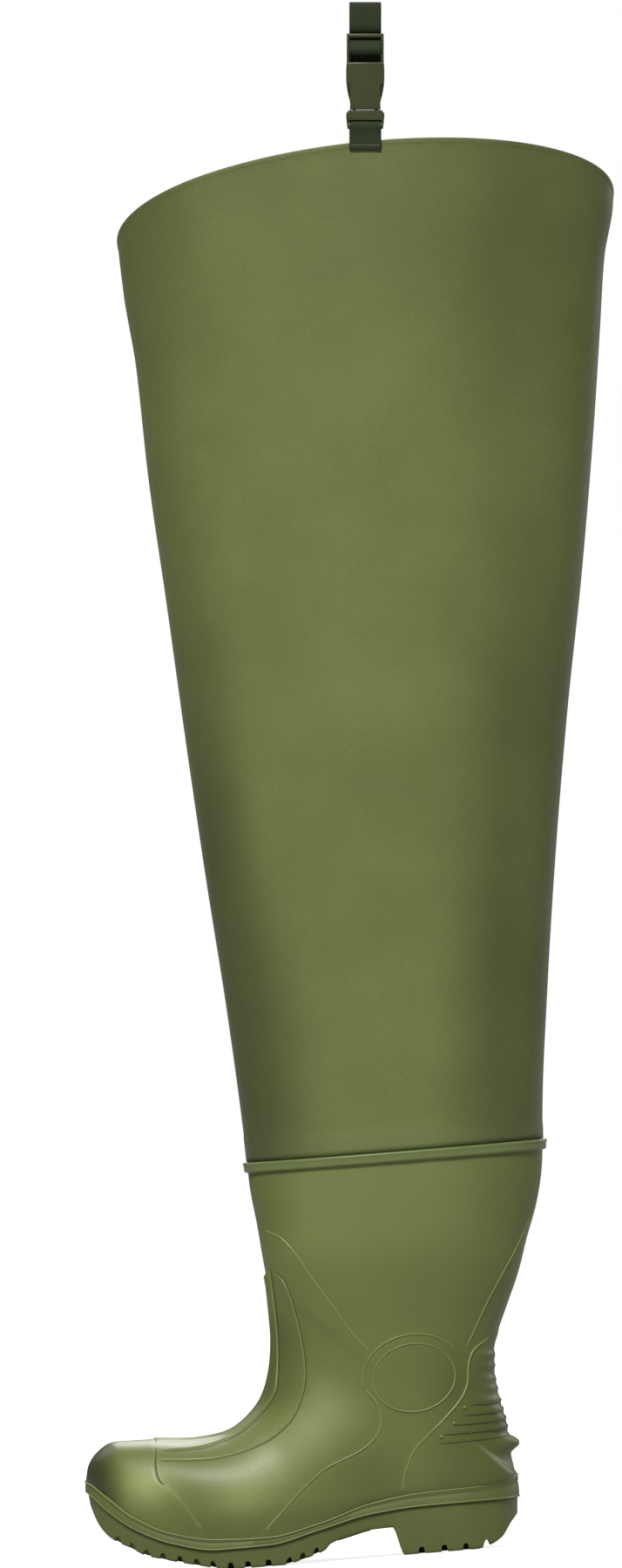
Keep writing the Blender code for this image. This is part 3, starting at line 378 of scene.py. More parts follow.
def grid(across, along, place, width=1.0, length=1.0):
    """Grid of faces whose corners go where place(column, row) says, with a map in metres."""
    bm = bmesh.new()
    weave_map = bm.loops.layers.uv.new("weave")
    made = bmesh.ops.create_grid(bm, x_segments=across, y_segments=along, size=0.5)
    for face in bm.faces:
        for corner in face.loops:
            spot = corner.vert.co
            corner[weave_map].uv = ((spot.x + 0.5) * width, (spot.y + 0.5) * length)
    for vert in made["verts"]:
        column = round((vert.co.x + 0.5) * across)
        row = round((vert.co.y + 0.5) * along)
        vert.co = place(column, row)
    return bm


def smooth_path(points, spacing, closed=False):
    """Points evenly spaced on a smooth line through the given ones."""
    points = [Vector(p) for p in points]
    count = len(points)
    line = []
    for k in range(count if closed else count - 1):
        if closed:
            a, b, c, d = (points[(k + n) % count] for n in (-1, 0, 1, 2))
        else:
            a, b, c, d = (points[min(max(k + n, 0), count - 1)] for n in (-1, 0, 1, 2))
        for step in range(12):
            t = step / 12
            line.append(0.5 * (2 * b + (c - a) * t + (2 * a - 5 * b + 4 * c - d) * t * t
                               + (3 * b - a - 3 * c + d) * t ** 3))
    line.append(points[0].copy() if closed else points[-1].copy())
    travel = [0.0]
    for before, after in zip(line, line[1:]):
        travel.append(travel[-1] + (after - before).length)
    steps = max(2, round(travel[-1] / spacing))
    wanted = np.linspace(0.0, travel[-1], steps + 1)
    values = [np.interp(wanted, travel, [p[n] for p in line]) for n in range(len(points[0]))]
    return [Vector(p) for p in zip(*values)]


def mm(*pairs):
    return [Vector((x / 1000, z / 1000)) for x, z in pairs]


CAP_EDGE = smooth_path(mm((186.4, 92), (187.6, 80), (188, 72), (186.4, 63), (180, 56.5),
                          (172, 48.5), (164.4, 36), (158, 26), (155, 18)), 0.002)
S_LINE = smooth_path(mm((44.4, 114), (38, 106), (34.8, 99), (34.4, 91), (36.2, 84), (41.5, 77.5),
                        (51.8, 71), (72.7, 62.5), (84, 54.5), (94.3, 46), (106, 34.5),
                        (116, 25.5), (122, 19)), 0.002)


ANKLE_X = 0.0099
ANKLE_Z = 0.118


def ankle_ring(reach, rise, start, stop, count):
    """Points of an oval about the ankle, lying 4.6 degrees toe down."""
    points = []
    for turned in np.radians(np.linspace(start, stop, count)):
        out, up = reach * math.cos(turned), rise * math.sin(turned)
        points.append(Vector((ANKLE_X + out * math.cos(ROLL) + up * math.sin(ROLL),
                              ANKLE_Z + up * math.cos(ROLL) - out * math.sin(ROLL))))
    return points


RING_ARC = ankle_ring(0.0348, 0.0290, -2.0, 150.0, 60)
PAD_LINE = ankle_ring(0.0278, 0.0227, 0.0, 360.0, 97)[:-1]
SPINE_LINE = smooth_path(mm((102.6, 200), (101, 193), (99.8, 172), (99.6, 146), (102.7, 119.5),
                            (108, 109.5), (114, 103), (122, 96), (132.5, 89.6), (144, 85.6),
                            (156.5, 83.2), (170, 82.8), (184, 83.8)), 0.002)
COUNTER_LINE = smooth_path(mm((-49.2, 144), (-40.5, 139), (-31.8, 133), (-27.6, 125),
                              (-26.4, 118), (-25.2, 110), (-19.2, 99.7), (-5.8, 86.7),
                              (9.3, 73.8), (15, 67.4), (18.6, 60), (22, 52), (23.5, 44),
                              (24, 36)), 0.002)
SHIN_LINE = smooth_path(mm((103.5, 225), (98, 222), (90.6, 217.2), (82, 206), (72.8, 190),
                           (61, 171), (49.4, 152), (41, 141.5), (36.5, 138.5)), 0.002)
BACK_LINE = smooth_path(mm((-86, 252), (-81.7, 231), (-68, 203), (-56, 184), (-42, 162),
                           (-29, 139), (-25, 135.8), (-20, 136)), 0.002)
INSTEP_LINE = smooth_path(mm((99.5, 195.5), (95.5, 193), (91, 186), (87, 171), (83.6, 150),
                             (82.6, 132), (84.6, 116), (92, 100), (100, 91.5), (111.5, 84),
                             (128, 78.4), (146.6, 75.2), (166, 75.4), (186, 77)), 0.002)


def depth_inside(outline, x, z):
    """How far each point lies inside a side-view outline, below zero outside it."""
    corner = np.array([tuple(p) for p in outline])
    edge = np.roll(corner, -1, axis=0) - corner
    gap = np.full(x.shape, 1.0)
    crossings = np.zeros(x.shape, int)
    for (ax, az), (ex, ez) in zip(corner, edge):
        along = np.clip(((x - ax) * ex + (z - az) * ez) / (ex * ex + ez * ez + 1e-18), 0.0, 1.0)
        gap = np.minimum(gap, np.hypot(x - ax - along * ex, z - az - along * ez))
        if ez:
            crossings += ((az > z) != (az + ez > z)) & (x < ax + (z - az) * ex / ez)
    return np.where(crossings % 2 == 1, gap, -gap)


def mould_relief(x, z, ridge_gap):
    """How far the mould's steps stand out of the last's own form."""
    rise = 0.0008 * ease(depth_inside(CAP_EDGE + mm((260, 18), (260, 95)), x, z), -0.0010, 0.0014)
    rise *= ease(z, 0.050, 0.062) + ease(-x, -0.190, -0.170)
    quarter = RING_ARC[::-1][:-1] + S_LINE + mm((122, 5), (-80, 5), (-80, 118), (-40, 130))
    rise += 0.0005 * ease(depth_inside(quarter, x, z), -0.0016, 0.0016)
    counter = COUNTER_LINE + mm((24, 20), (-90, 20), (-90, 150))
    rise += 0.0006 * ease(depth_inside(counter, x, z), -0.0016, 0.0016)
    rise += 0.0005 * ease(depth_inside(PAD_LINE, x, z), -0.0018, 0.0018)
    shin = (ease(z, 0.080, 0.083) * (1.0 - ease(z, 0.1925, 0.1950)) * ease(x, 0.078, 0.090)
            * (1.0 - ease(x, 0.1865, 0.1885)))
    rise += 0.0014 * shin * (1.0 - ease(np.abs(ridge_gap), 0.0058, 0.0078))
    rise += 0.0004 * shin * (1.0 - ease(np.abs(ridge_gap), 0.0105, 0.0125))
    for height, front in ((0.0993, -0.021), (0.0929, -0.015), (0.087, -0.008), (0.0812, -0.002)):
        bend = height + 0.10 * np.maximum(0.0, x - front + 0.02) - 0.0015
        band = np.exp(-((z - bend) / 0.0015) ** 2)
        rise += 0.0013 * band * (1.0 - ease(x, front - 0.014, front - 0.002))
    for height in (0.106, 0.112, 0.121, 0.1285):
        wrinkle = np.exp(-((z - height) / 0.0015) ** 2) * (1.0 - ease(x, -0.040, -0.031))
        rise += 0.0009 * wrinkle
    return rise


def close_up(bm, gap=1e-6, slivers=False):
    """Joins corners that meet, drops slivers if asked to, and turns all faces alike."""
    bmesh.ops.remove_doubles(bm, verts=bm.verts, dist=gap)
    if slivers:
        bmesh.ops.dissolve_degenerate(bm, dist=1e-6, edges=bm.edges)
    bmesh.ops.recalc_face_normals(bm, faces=bm.faces)


def face_out(bm):
    """Turns an open skin round if its outermost corner faces inwards."""
    bm.normal_update()
    if max(bm.verts, key=lambda v: v.co.y).normal.y < 0.0:
        bmesh.ops.reverse_faces(bm, faces=bm.faces)
        bm.normal_update()


SPUR_REACH = 0.0070
SPUR_HEIGHT = 0.0684
SPUR_HALF = 0.027
bm = grid(len(boot_rows[0]) - 1, len(boot_rows) - 1, lambda column, row: boot_rows[row][column])
close_up(bm, 2e-5, slivers=True)
face_out(bm)
skin = list(bm.verts)
spots = np.array([tuple(v.co) for v in skin])
angles = [angle_at(share_of(x)) for x in spots[:, 0]]
middle = np.array([0.5 * (outer_edge(angle) + inner_edge(angle)) * BALL_WIDTH for angle in angles])
middle *= ease(spots[:, 0], 0.075, 0.115)
lift = mould_relief(spots[:, 0], spots[:, 2], spots[:, 1] - middle)
lift *= 1.0 - ease(spots[:, 2], 0.255, 0.262)
for vert, rise in zip(skin, lift):
    vert.co += vert.normal * rise
    if vert.co.x < 0.0 and abs(vert.co.y) < SPUR_HALF:
        spur = SPUR_REACH * math.exp(-(abs(vert.co.z - SPUR_HEIGHT) / 0.0047) ** 3)
        spur *= 1.0 - (vert.co.y / SPUR_HALF) ** 2
        vert.co.x -= spur * max(0.0, -vert.normal.x) ** 0.5
bm.normal_update()
boot_surface = BVHTree.FromBMesh(bm)


def boot_painted_light(x, z):
    """Painted light on the rubber: painted highlights on the vamp and toe, paler on the upper leg, and
    painted shade at the toe's tip, heel, shin, back of the leg, quarter and along the sole.
    """
    vamp_x, vamp_z, run_x, run_z = 0.070, 0.097, 0.060, -0.046
    along = clamp(((x - vamp_x) * run_x + (z - vamp_z) * run_z) / (run_x ** 2 + run_z ** 2))
    gap = math.hypot(x - vamp_x - run_x * along, z - vamp_z - run_z * along)
    tone = 1.0 + (0.38 + 0.18 * along) * math.exp(-(gap / 0.021) ** 2)
    tone += 1.05 * math.exp(-((x - 0.194) / 0.017) ** 2 - ((z - 0.060) / 0.013) ** 2)
    tone += 0.20 * step_up(z, 0.185, 0.225)
    tone -= 0.16 * math.exp(-((x - 0.042) / 0.022) ** 2 - ((z - 0.056) / 0.022) ** 2)
    near, far = along_x(shin_along(z / BOOT_HEIGHT)), along_x(back_along(z / BOOT_HEIGHT))
    share = (x - 0.5 * (near + far)) / (0.5 * (near - far))
    high = step_up(z, 0.190, 0.235)
    low = step_up(z, 0.090, 0.120) * (1.0 - step_up(z, 0.150, 0.180))
    tone *= 1.0 - 0.26 * (high + low) * step_up(share, 0.60, 0.92)
    tone *= 1.0 - (0.06 * step_up(z, 0.120, 0.160) + 0.16 * high) * step_up(-share, 0.20, 0.85)
    tone *= 1.0 - 0.70 * step_up(x, 0.205, 0.228)
    tone *= 1.0 - 0.26 * step_up(-x, -0.015, 0.020) * step_up(-z, -0.150, -0.110)
    return tone * (1.0 - 0.24 * step_up(-z, -0.046, -0.028) * step_up(-x, -0.190, -0.150))


# Painted highlights and painted shade of the boot, kept per corner as its fade
fade = bm.verts.layers.float.new("fade")
for vert in bm.verts:
    vert[fade] = boot_painted_light(vert.co.x, vert.co.z)


def group_of(name, inputs, outputs):
    """Empty shader node group, with its ends, for an effect that several materials use."""
    made = bpy.data.node_groups.new(name, "ShaderNodeTree")
    for label, default in inputs.items():
        socket = made.interface.new_socket(label, in_out="INPUT", socket_type="NodeSocketFloat")
        socket.default_value = default
    for label in outputs:
        made.interface.new_socket(label, in_out="OUTPUT", socket_type="NodeSocketFloat")
    return made, made.nodes.new("NodeGroupInput"), made.nodes.new("NodeGroupOutput")


def tones(tree, factor, dark, light, low=0.0, high=1.0):
    """Colour that runs from dark to light as a factor runs from low to high."""
    made = put(tree, "ValToRGB", Fac=factor)
    for end, place, colour in zip(made.color_ramp.elements, (low, high), (dark, light)):
        end.position, end.color = place, (*colour, 1.0)
    return made.outputs["Color"]


def blend(tree, factor, first, second, way="MIX"):
    """Colour made of two, each a socket or a plain colour."""
    made = put(tree, "Mix", {"data_type": "RGBA", "blend_type": way}, Factor=factor)
    feed(tree, made.inputs[6], first)
    feed(tree, made.inputs[7], second)
    return made.outputs[2]


# Mottle: broad soft changes of tone, and the fine grain of a moulded skin, in object space
mottle, ends_in, ends_out = group_of("mottle", {"Broad": 9.0, "Fine": 700.0}, ("Tone", "Grain"))
spot = put(mottle, "TexCoord")
for scale, effect, detail, roughness in (("Broad", "Tone", 3.0, 0.55), ("Fine", "Grain", 2.0, 0.6)):
    noise = put(mottle, "TexNoise", Vector=spot.outputs["Object"], Scale=ends_in.outputs[scale],
                Detail=detail, Roughness=roughness)
    plug(mottle, ends_out, **{effect: noise.outputs["Fac"]})

KNURL_PITCH = 0.0019


def moulded_finish(name, light, dark, roughness, grain_size, grain_depth, painted_light=False,
                   knurled=False):
    """Moulded material: two close tones, a fine grain and a broad soft gloss."""
    finish, tree, shader = new_finish(name, Specular_IOR_Level=0.36)
    use = put(tree, "Group", {"node_tree": mottle}, Broad=11.0, Fine=grain_size)
    grain = use.outputs["Grain"]
    speck = sums(tree, "MULTIPLY_ADD", grain, 0.25, -0.125)
    colour = tones(tree, sums(tree, "ADD", use.outputs["Tone"], speck), dark, light, 0.32, 0.68)
    # Painted light: above 1 the fade blends towards a pale painted highlight, below 1 it darkens the
    # colour as painted shade.
    if painted_light:
        painted_level = put(tree, "Attribute", {"attribute_name": "fade"}).outputs["Fac"]
        above = sums(tree, "MAXIMUM", sums(tree, "SUBTRACT", painted_level, 1.0), 0.0)
        colour = blend(tree, above, colour, (0.325, 0.370, 0.138, 1.0))
        colour = blend(tree, 1.0, colour, sums(tree, "MINIMUM", painted_level, 1.0), "MULTIPLY")
    bump = put(tree, "Bump", Strength=0.35, Distance=grain_depth, Height=grain)
    plug(tree, shader, Base_Color=colour, Normal=bump.outputs["Normal"],
         Roughness=sums(tree, "MULTIPLY_ADD", grain, 0.16, roughness - 0.08))
    if knurled:
        split = put(tree, "SeparateXYZ", Vector=put(tree, "TexCoord").outputs["Object"])
        waves = [sums(tree, "SINE", sums(tree, "MULTIPLY", split.outputs[axis],
                                         2.0 * math.pi / KNURL_PITCH)) for axis in ("X", "Y")]
        pads = put(tree, "Attribute", {"attribute_name": "pad"})
        height = sums(tree, "MULTIPLY", sums(tree, "MULTIPLY", *waves), pads.outputs["Fac"])
        knurl = put(tree, "Bump", Strength=1.0, Distance=0.0006, Height=height)
        plug(tree, bump, Normal=knurl.outputs["Normal"])
    return finish


boot_finish = moulded_finish("moulded_boot", (0.152, 0.177, 0.048), (0.138, 0.163, 0.045),
                             0.44, 900.0, 0.00012, painted_light=True)


def dress(name, bm, finish, slot, *nodes, sharp=None):
    """Piece of the boot, with its finish, riding on the part in place of its CAD nodes."""
    mesh = bpy.data.meshes.new(name)
    bm.to_mesh(mesh)
    bm.free()
    mesh.materials.append(finish)
    mesh.shade_smooth()
    if sharp:
        mesh.set_sharp_from_angle(angle=math.radians(sharp))
    piece = bpy.data.objects.new(name, mesh)
    bpy.context.scene.collection.objects.link(piece)
    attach(piece, "root")
    if nodes:
        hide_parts(*nodes)
    return piece


def give_wall(piece, thickness):
    """Wall of one thickness, grown inwards from the outer skin."""
    wall = piece.modifiers.new("wall", "SOLIDIFY")
    wall.thickness = thickness
    wall.offset = -1.0
    wall.use_even_offset = False
    wall.use_quality_normals = True


give_wall(dress("moulded_boot", bm, boot_finish, "moulded_boot", "boot_upper", sharp=60), WALL)


# Raised lines of the mould: flat half-round beads up to 1.8 mm wide along the edges of the
# panels, the same on both sides of the boot, with three vent dots above each side of the heel.
# Darker strips laid on the surface are painted shadow for the grooves beside them and between
# the heel's ribs, and the lines themselves are coloured lighter as a painted highlight.
def surface_point(x, z, side):
    return boot_surface.ray_cast(Vector((x, side * 0.2, z)), Vector((0.0, -side, 0.0)))[:2]


def raised_line(path, side, width, height, closed=False):
    """Half-round bead laid on the boot along a side-view path."""
    seats = []
    for x, z in path:
        place, normal = surface_point(x, z, side)
        if place is not None:
            if normal.y * side < 0.0:
                normal = -normal
            seats.append((place, normal))
    count = len(seats)
    if closed:
        seats.append(seats[0])
    shape = [(-1.0, -0.35), (-0.55, 0.66), (0.0, 1.0), (0.55, 0.66), (1.0, -0.35)]

    def place(column, row):
        here, normal = seats[row]
        if closed:
            run = seats[(row + 1) % count][0] - seats[(row - 1) % count][0]
            fade = 1.0
        else:
            run = seats[min(row + 1, count - 1)][0] - seats[max(row - 1, 0)][0]
            fade = min(1.0, (min(row, count - 1 - row) + 0.3) / 5.0)
        across = normal.cross(run).normalized()
        out, up = shape[column]
        rise = (up * fade - (1.0 - fade) * 0.3) * height
        return here + across * (out * 0.5 * width) + normal * rise
    line = grid(4, len(seats) - 1, place)
    close_up(line)
    if sum(f.normal.y for f in line.faces) * side < 0.0:
        bmesh.ops.reverse_faces(line, faces=line.faces)
    return line


def join_into(target, source):
    """Adds a mesh to another, and frees it."""
    holder = bpy.data.meshes.new("holder")
    source.to_mesh(holder)
    source.free()
    target.from_mesh(holder)
    bpy.data.meshes.remove(holder)


def mapped_mesh():
    """Empty mesh with the same map as a grid."""
    made = bmesh.new()
    made.loops.layers.uv.new("weave")
    return made


lines = mapped_mesh()
for side in (1.0, -1.0):
    for path, width, height in ((S_LINE[:-3], 0.0018, 0.0008), (RING_ARC, 0.0016, 0.0007),
                                (COUNTER_LINE[3:-3], 0.0018, 0.0008), (SHIN_LINE, 0.0014, 0.0005),
                                (BACK_LINE[:-2], 0.0014, 0.0005), (INSTEP_LINE, 0.0013, 0.0005),
                                (SPINE_LINE, 0.0016, 0.0007), (CAP_EDGE[4:-5], 0.0011, 0.0004)):
        join_into(lines, raised_line(path, side, width, height))
    join_into(lines, raised_line(PAD_LINE, side, 0.0014, 0.0006, closed=True))
    for x, z in mm((-22.3, 95.3), (-14.5, 85.4), (-5.0, 77.0)):
        dot = mapped_mesh()
        bmesh.ops.create_uvsphere(dot, u_segments=10, v_segments=6, radius=0.0011)
        bmesh.ops.translate(dot, vec=surface_point(x, z, side)[0], verts=dot.verts)
        join_into(lines, dot)


def beside(path, gap):
    """Path moved to the rear and below by a gap, beside the line that it follows."""
    moved = []
    for k, spot in enumerate(path):
        run = (path[min(k + 1, len(path) - 1)] - path[max(k - 1, 0)]).normalized()
        moved.append(spot + gap * Vector((run.y, -run.x)))
    return moved


# Dark strips laid just on the surface: painted shadow for the grooves beside the spine, cap edge and
# instep lines and between the heel's ribs.
groove_shadows = mapped_mesh()
for side in (1.0, -1.0):
    for path, gap, width, height in ((SPINE_LINE, 0.0015, 0.0016, 0.00022),
                                     (CAP_EDGE[1:20], 0.0009, 0.0013, 0.00022),
                                     (INSTEP_LINE, 0.0011, 0.0010, 0.00015)):
        join_into(groove_shadows, raised_line(beside(path, gap), side, width, height))
    for rear, front in (((-46, 96.6), (-25, 96.4)), ((-49, 90.4), (-19, 89.8)),
                        ((-51, 84.6), (-12, 83.9)), ((-52, 78.8), (-5, 78.2)),
                        ((-53, 73.4), (-2, 72.6))):
        path = smooth_path(mm(rear, (-36, rear[1] - 0.6), front), 0.001)
        join_into(groove_shadows, raised_line(path, side, 0.0012, 0.00042))
groove_shadow_finish = moulded_finish("groove_painted_shadow", (0.072, 0.086, 0.024), (0.060, 0.073, 0.021),
                               0.6, 900.0, 0.00006)
dress("groove_shadow_strips", groove_shadows, groove_shadow_finish, "moulded_boot")
# Raised lines and rand beads are coloured lighter than the rubber: a painted highlight along their
# edges.
highlight_finish = moulded_finish("painted_highlight_lines", (0.235, 0.268, 0.084), (0.185, 0.214, 0.062),
                             0.36, 900.0, 0.00006)
dress("raised_lines", lines, highlight_finish, "moulded_boot")

# Sole unit: moulded with the boot, with a rounded rand, a stepped side wall and a lugged tread.
# Side lugs have a finger slot each, the middle field has V grooves that point to the toe, and
# the waist carries a bare plate.
EDGE_ROUND = 0.0008
RAND_STEP = 0.0014
TREAD_INSET = RAND_STEP + 3.0 * EDGE_ROUND
BED = LEDGE + WALL + 0.0012
LUG_DEPTH = 0.0045
LUG_REACH = 0.027
GROOVE = 0.0036
BORDER = 0.0028
CHEVRON_ANGLE = math.radians(24.0)
HEEL_CROSS = 0.085
HEEL_COLUMN = 0.016
PLATE_RISE = 0.0014
UNDERSIDE = [
    # along, height
    (0.000, 0.305), (0.016, 0.235), (0.043, 0.090), (0.072, 0.030), (0.105, 0.000),
    (0.2756, 0.000), (0.298, 0.290), (0.344, 0.284), (0.394, 0.239), (0.4425, 0.175),
    (0.456, 0.117), (0.480, 0.076), (0.518, 0.030), (0.5526, 0.000), (0.683, 0.000),
    (0.735, 0.044), (0.797, 0.105), (0.831, 0.145), (0.876, 0.198), (0.9105, 0.282),
    (0.954, 0.386), (0.983, 0.534), (1.000, 0.730),
]
FOOTBED = [
    # along, height
    (0.000, 0.457), (0.240, 0.465), (0.343, 0.412), (0.463, 0.297), (0.566, 0.229),
    (0.670, 0.224), (0.773, 0.282), (0.876, 0.427), (0.945, 0.579), (1.000, 0.670),
]
SIDE_GROOVES = [(0.478, 0.027), (0.542, 0.027), (0.638, 0.027), (0.718, 0.027), (0.794, 0.027),
                (0.869, 0.027), (0.934, 0.027), (0.510, 0.014), (0.590, 0.014), (0.678, 0.014),
                (0.756, 0.014), (0.832, 0.014), (0.902, 0.014), (0.183, 0.024), (0.236, 0.014),
                (0.133, 0.014)]
V_GROOVES = [0.542, 0.638, 0.718, 0.794, 0.869]
under_share, bed_share = curve(UNDERSIDE, 1), curve(FOOTBED, 1)


def under(x):
    return under_share(share_of(x)) * BUMPER_HEIGHT


def groove(distance, half, wall=0.0007):
    """1 inside a groove of a half width, falling to 0 over its wall."""
    return clamp((half + 0.5 * wall - abs(distance)) / wall)


def tread_depth(x, y, outer_y, inner_y, middle_y):
    """How far the tread is cut up from the sole's under face."""
    share = share_of(x)
    edge_gap = min(outer_y - y, y - inner_y)
    cut = 0.0
    for place, reach in SIDE_GROOVES:
        gap = x - along_x(place)
        if abs(gap) < 0.004:
            side = 1.0 if edge_gap < reach else max(0.0, 1.0 - (edge_gap - reach) / 0.0008)
            cut = max(cut, groove(gap, 0.5 * GROOVE) * side)
    if 0.495 < share < 0.905:
        cut = max(cut, 0.8 * groove(edge_gap - LUG_REACH, 0.5 * BORDER))
        if edge_gap > LUG_REACH - 0.001:
            for place in V_GROOVES:
                lean = x - along_x(place) + math.tan(CHEVRON_ANGLE) * abs(y - middle_y)
                cut = max(cut, 0.7 * groove(lean * math.cos(CHEVRON_ANGLE), 0.4 * BORDER, 0.0020))
    if share < 0.275:
        cut = max(cut, groove(x - along_x(HEEL_CROSS), 0.5 * GROOVE))
        if share > HEEL_CROSS:
            cut = max(cut, 0.8 * groove(abs(y) - HEEL_COLUMN, 0.5 * BORDER))
    plate = clamp((share - 0.345) / 0.006) * clamp((0.432 - share) / 0.006)
    half = 0.0125 + 0.035 * max(0.0, share - 0.345)
    plate *= clamp((half - abs(y + 0.001)) / 0.0008)
    return cut * LUG_DEPTH - PLATE_RISE * plate


def tread_pad(x, y):
    """1 on the roughened pads of the lugs, of the middle field and of the heel."""
    share = share_of(x)
    angle = angle_at(share)
    outer_y, inner_y = outer_edge(angle) * BALL_WIDTH, inner_edge(angle) * BALL_WIDTH
    edge_gap = min(outer_y - y, y - inner_y)
    if not (0.49 < share < 0.93 or 0.10 < share < 0.26):
        return 0.0
    if 0.0045 < edge_gap < (LUG_REACH - 0.0035 if share > 0.3 else 0.021):
        clear = min(abs(x - along_x(place)) for place, reach in SIDE_GROOVES if reach > 0.02)
        slot = min(abs(x - along_x(place)) + max(0.0, edge_gap - reach)
                   for place, reach in SIDE_GROOVES if reach < 0.02)
        return float(clear > 0.0035 and slot > 0.0030)
    lean = x + math.tan(CHEVRON_ANGLE) * abs(y - 0.5 * (outer_y + inner_y))
    if share > 0.49 and edge_gap > LUG_REACH + 0.004:
        return float(min(abs(lean - along_x(place) - 0.008) for place in V_GROOVES) < 0.0036)
    return float(share < 0.3 and abs(y) < 0.0115 and abs(abs(x) - 0.0125) < 0.006)


stations = [x_at(angle) for angle in (*range(0, 16, 2), *range(168, 181, 2))]
stations += list(np.arange(along_x(0.985), along_x(0.012), -0.00125))
edges = []
for place in [place for place, _ in SIDE_GROOVES] + [HEEL_CROSS]:
    for offset in (-0.5 * GROOVE - 0.00035, -0.5 * GROOVE + 0.00035,
                   0.5 * GROOVE - 0.00035, 0.5 * GROOVE + 0.00035):
        edges.append(along_x(place) + offset)
stations = [x for x in stations if min(abs(x - e) for e in edges) > 0.0004]
sole_x = sorted(set(edges + stations), reverse=True)
sole_x = [x for k, x in enumerate(sole_x)
          if k in (0, len(sole_x) - 1) or sole_x[k - 1] - x > 0.0002]
sole_angles = [angle_at(share_of(x)) for x in sole_x]
sole_angles[0], sole_angles[-1] = 0.0, 180.0
around = sole_angles + sole_angles[-2:0:-1]
sides = [True] * len(sole_angles) + [False] * (len(sole_angles) - 2)


def outline_at(k, inset):
    k = k % len(around)
    return outline_point(around[k], sides[k], inset)


def side_cut(k):
    """Depth of the tread's grooves where they come out of the side wall."""
    angle = around[k % len(around)]
    if angle in (0.0, 180.0):
        return 0.0
    spot = outline_at(k, RAND_STEP)
    outer, inner = outline_point(angle, True), outline_point(angle, False)
    return max(0.0, tread_depth(spot.x, spot.y, outer.y, inner.y, 0.0))


def wall_profile(k):
    """Side wall from the tread's edge up over the rand and down to the bed: inset and height."""
    angle = around[k % len(around)]
    x = outline_at(k, 0.0).x
    top, step = rand_share(angle) * BUMPER_HEIGHT, step_share(angle) * BUMPER_HEIGHT
    low = under(x)
    cut = min(side_cut(k), max(0.0, step - 3.2 * EDGE_ROUND - low))
    foot = min(low + 3.0 * EDGE_ROUND, step - 2.0 * EDGE_ROUND)
    base = low + cut
    return [(TREAD_INSET, base),
            (RAND_STEP + 1.7 * EDGE_ROUND, max(base, low + 0.6 * EDGE_ROUND)),
            (RAND_STEP + 1.15 * EDGE_ROUND, max(base, low + 1.7 * EDGE_ROUND)),
            (RAND_STEP + EDGE_ROUND, max(base, foot)),
            (RAND_STEP + 0.6 * EDGE_ROUND, max(base, 0.5 * (foot + step))),
            (RAND_STEP, step - EDGE_ROUND),
            (RAND_STEP + 0.0003, step - 0.6 * EDGE_ROUND),
            (0.25 * RAND_STEP, step),
            (0.0, step + 0.5 * EDGE_ROUND),
            (0.0, step + 0.55 * (top - step)),
            (0.00035, step + 0.62 * (top - step)),
            (0.00035, step + 0.68 * (top - step)),
            (0.0, step + 0.75 * (top - step)),
            (0.0, top - EDGE_ROUND),
            (0.3 * EDGE_ROUND, top - 0.3 * EDGE_ROUND),
            (EDGE_ROUND, top),
            (LEDGE + 0.5 * WALL, top),
            (BED - 0.0006, top),
            (BED, bed_share(share_of(x)) * BUMPER_HEIGHT)]


profiles = [wall_profile(k) for k in range(len(around))]


def wall_place(column, row):
    k = column % len(around)
    inset, height = profiles[k][row]
    spot = outline_at(k, inset)
    return Vector((spot.x, spot.y, height))


sole = grid(len(around), len(profiles[0]) - 1, wall_place)
ACROSS = 128
BED_ACROSS = 12
tread_ends = [(outline_point(angle, True, TREAD_INSET), outline_point(angle, False, TREAD_INSET),
               outline_point(angle, True).y, outline_point(angle, False).y) for angle in sole_angles]


def tread_place(column, row):
    a, b, outer_y, inner_y = tread_ends[row]
    spot = a.lerp(b, column / ACROSS)
    x_of_height = outline_point(sole_angles[row], column < ACROSS / 2).x
    if row in (0, len(tread_ends) - 1):
        return Vector((spot.x, spot.y, under(x_of_height)))
    edge = min(column, ACROSS - column)
    if edge == 0:
        k = row if column == 0 else len(around) - row
        return Vector((spot.x, spot.y, profiles[k % len(around)][0][1]))
    cut = tread_depth(spot.x, spot.y, outer_y, inner_y, 0.5 * (outer_y + inner_y))
    return Vector((spot.x, spot.y, under(x_of_height) + cut))


join_into(sole, grid(ACROSS, len(sole_angles) - 1, tread_place))


def bed_place(column, row):
    angle = sole_angles[row]
    a, b = outline_point(angle, True, BED), outline_point(angle, False, BED)
    spot = a.lerp(b, column / BED_ACROSS)
    share = share_of(outline_point(angle, True).x)
    return Vector((spot.x, spot.y, bed_share(share) * BUMPER_HEIGHT))


join_into(sole, grid(BED_ACROSS, len(sole_angles) - 1, bed_place))
close_up(sole, 1e-5, slivers=True)


def rand_bead(height_at, radius):
    """Fine bead of the mould run round the rand, as a closed tube."""
    loop = len(around)

    def place(column, row):
        k, turned = column % loop, 2.0 * math.pi * row / 6
        spot = outline_at(k, 0.25 * radius - radius * math.cos(turned))
        return Vector((spot.x, spot.y, height_at(k) + radius * math.sin(turned)))
    made = grid(loop, 6, place)
    close_up(made, slivers=True)
    return made


beads = rand_bead(lambda k: rand_share(around[k]) * BUMPER_HEIGHT - 0.7 * EDGE_ROUND, 0.0006)
join_into(beads, rand_bead(lambda k: step_share(around[k]) * BUMPER_HEIGHT + 0.8 * EDGE_ROUND,
                           0.0005))
pad = sole.verts.layers.float.new("pad")
for vert in sole.verts:
    if vert.co.z < under(vert.co.x) + 0.0004:
        vert[pad] = tread_pad(vert.co.x, vert.co.y)
sole_finish = moulded_finish("sole_rubber", (0.128, 0.150, 0.042), (0.114, 0.136, 0.039),
                             0.5, 800.0, 0.00014, knurled=True)
dress("sole_unit", sole, sole_finish, "sole_rubber", "outsole", sharp=38)
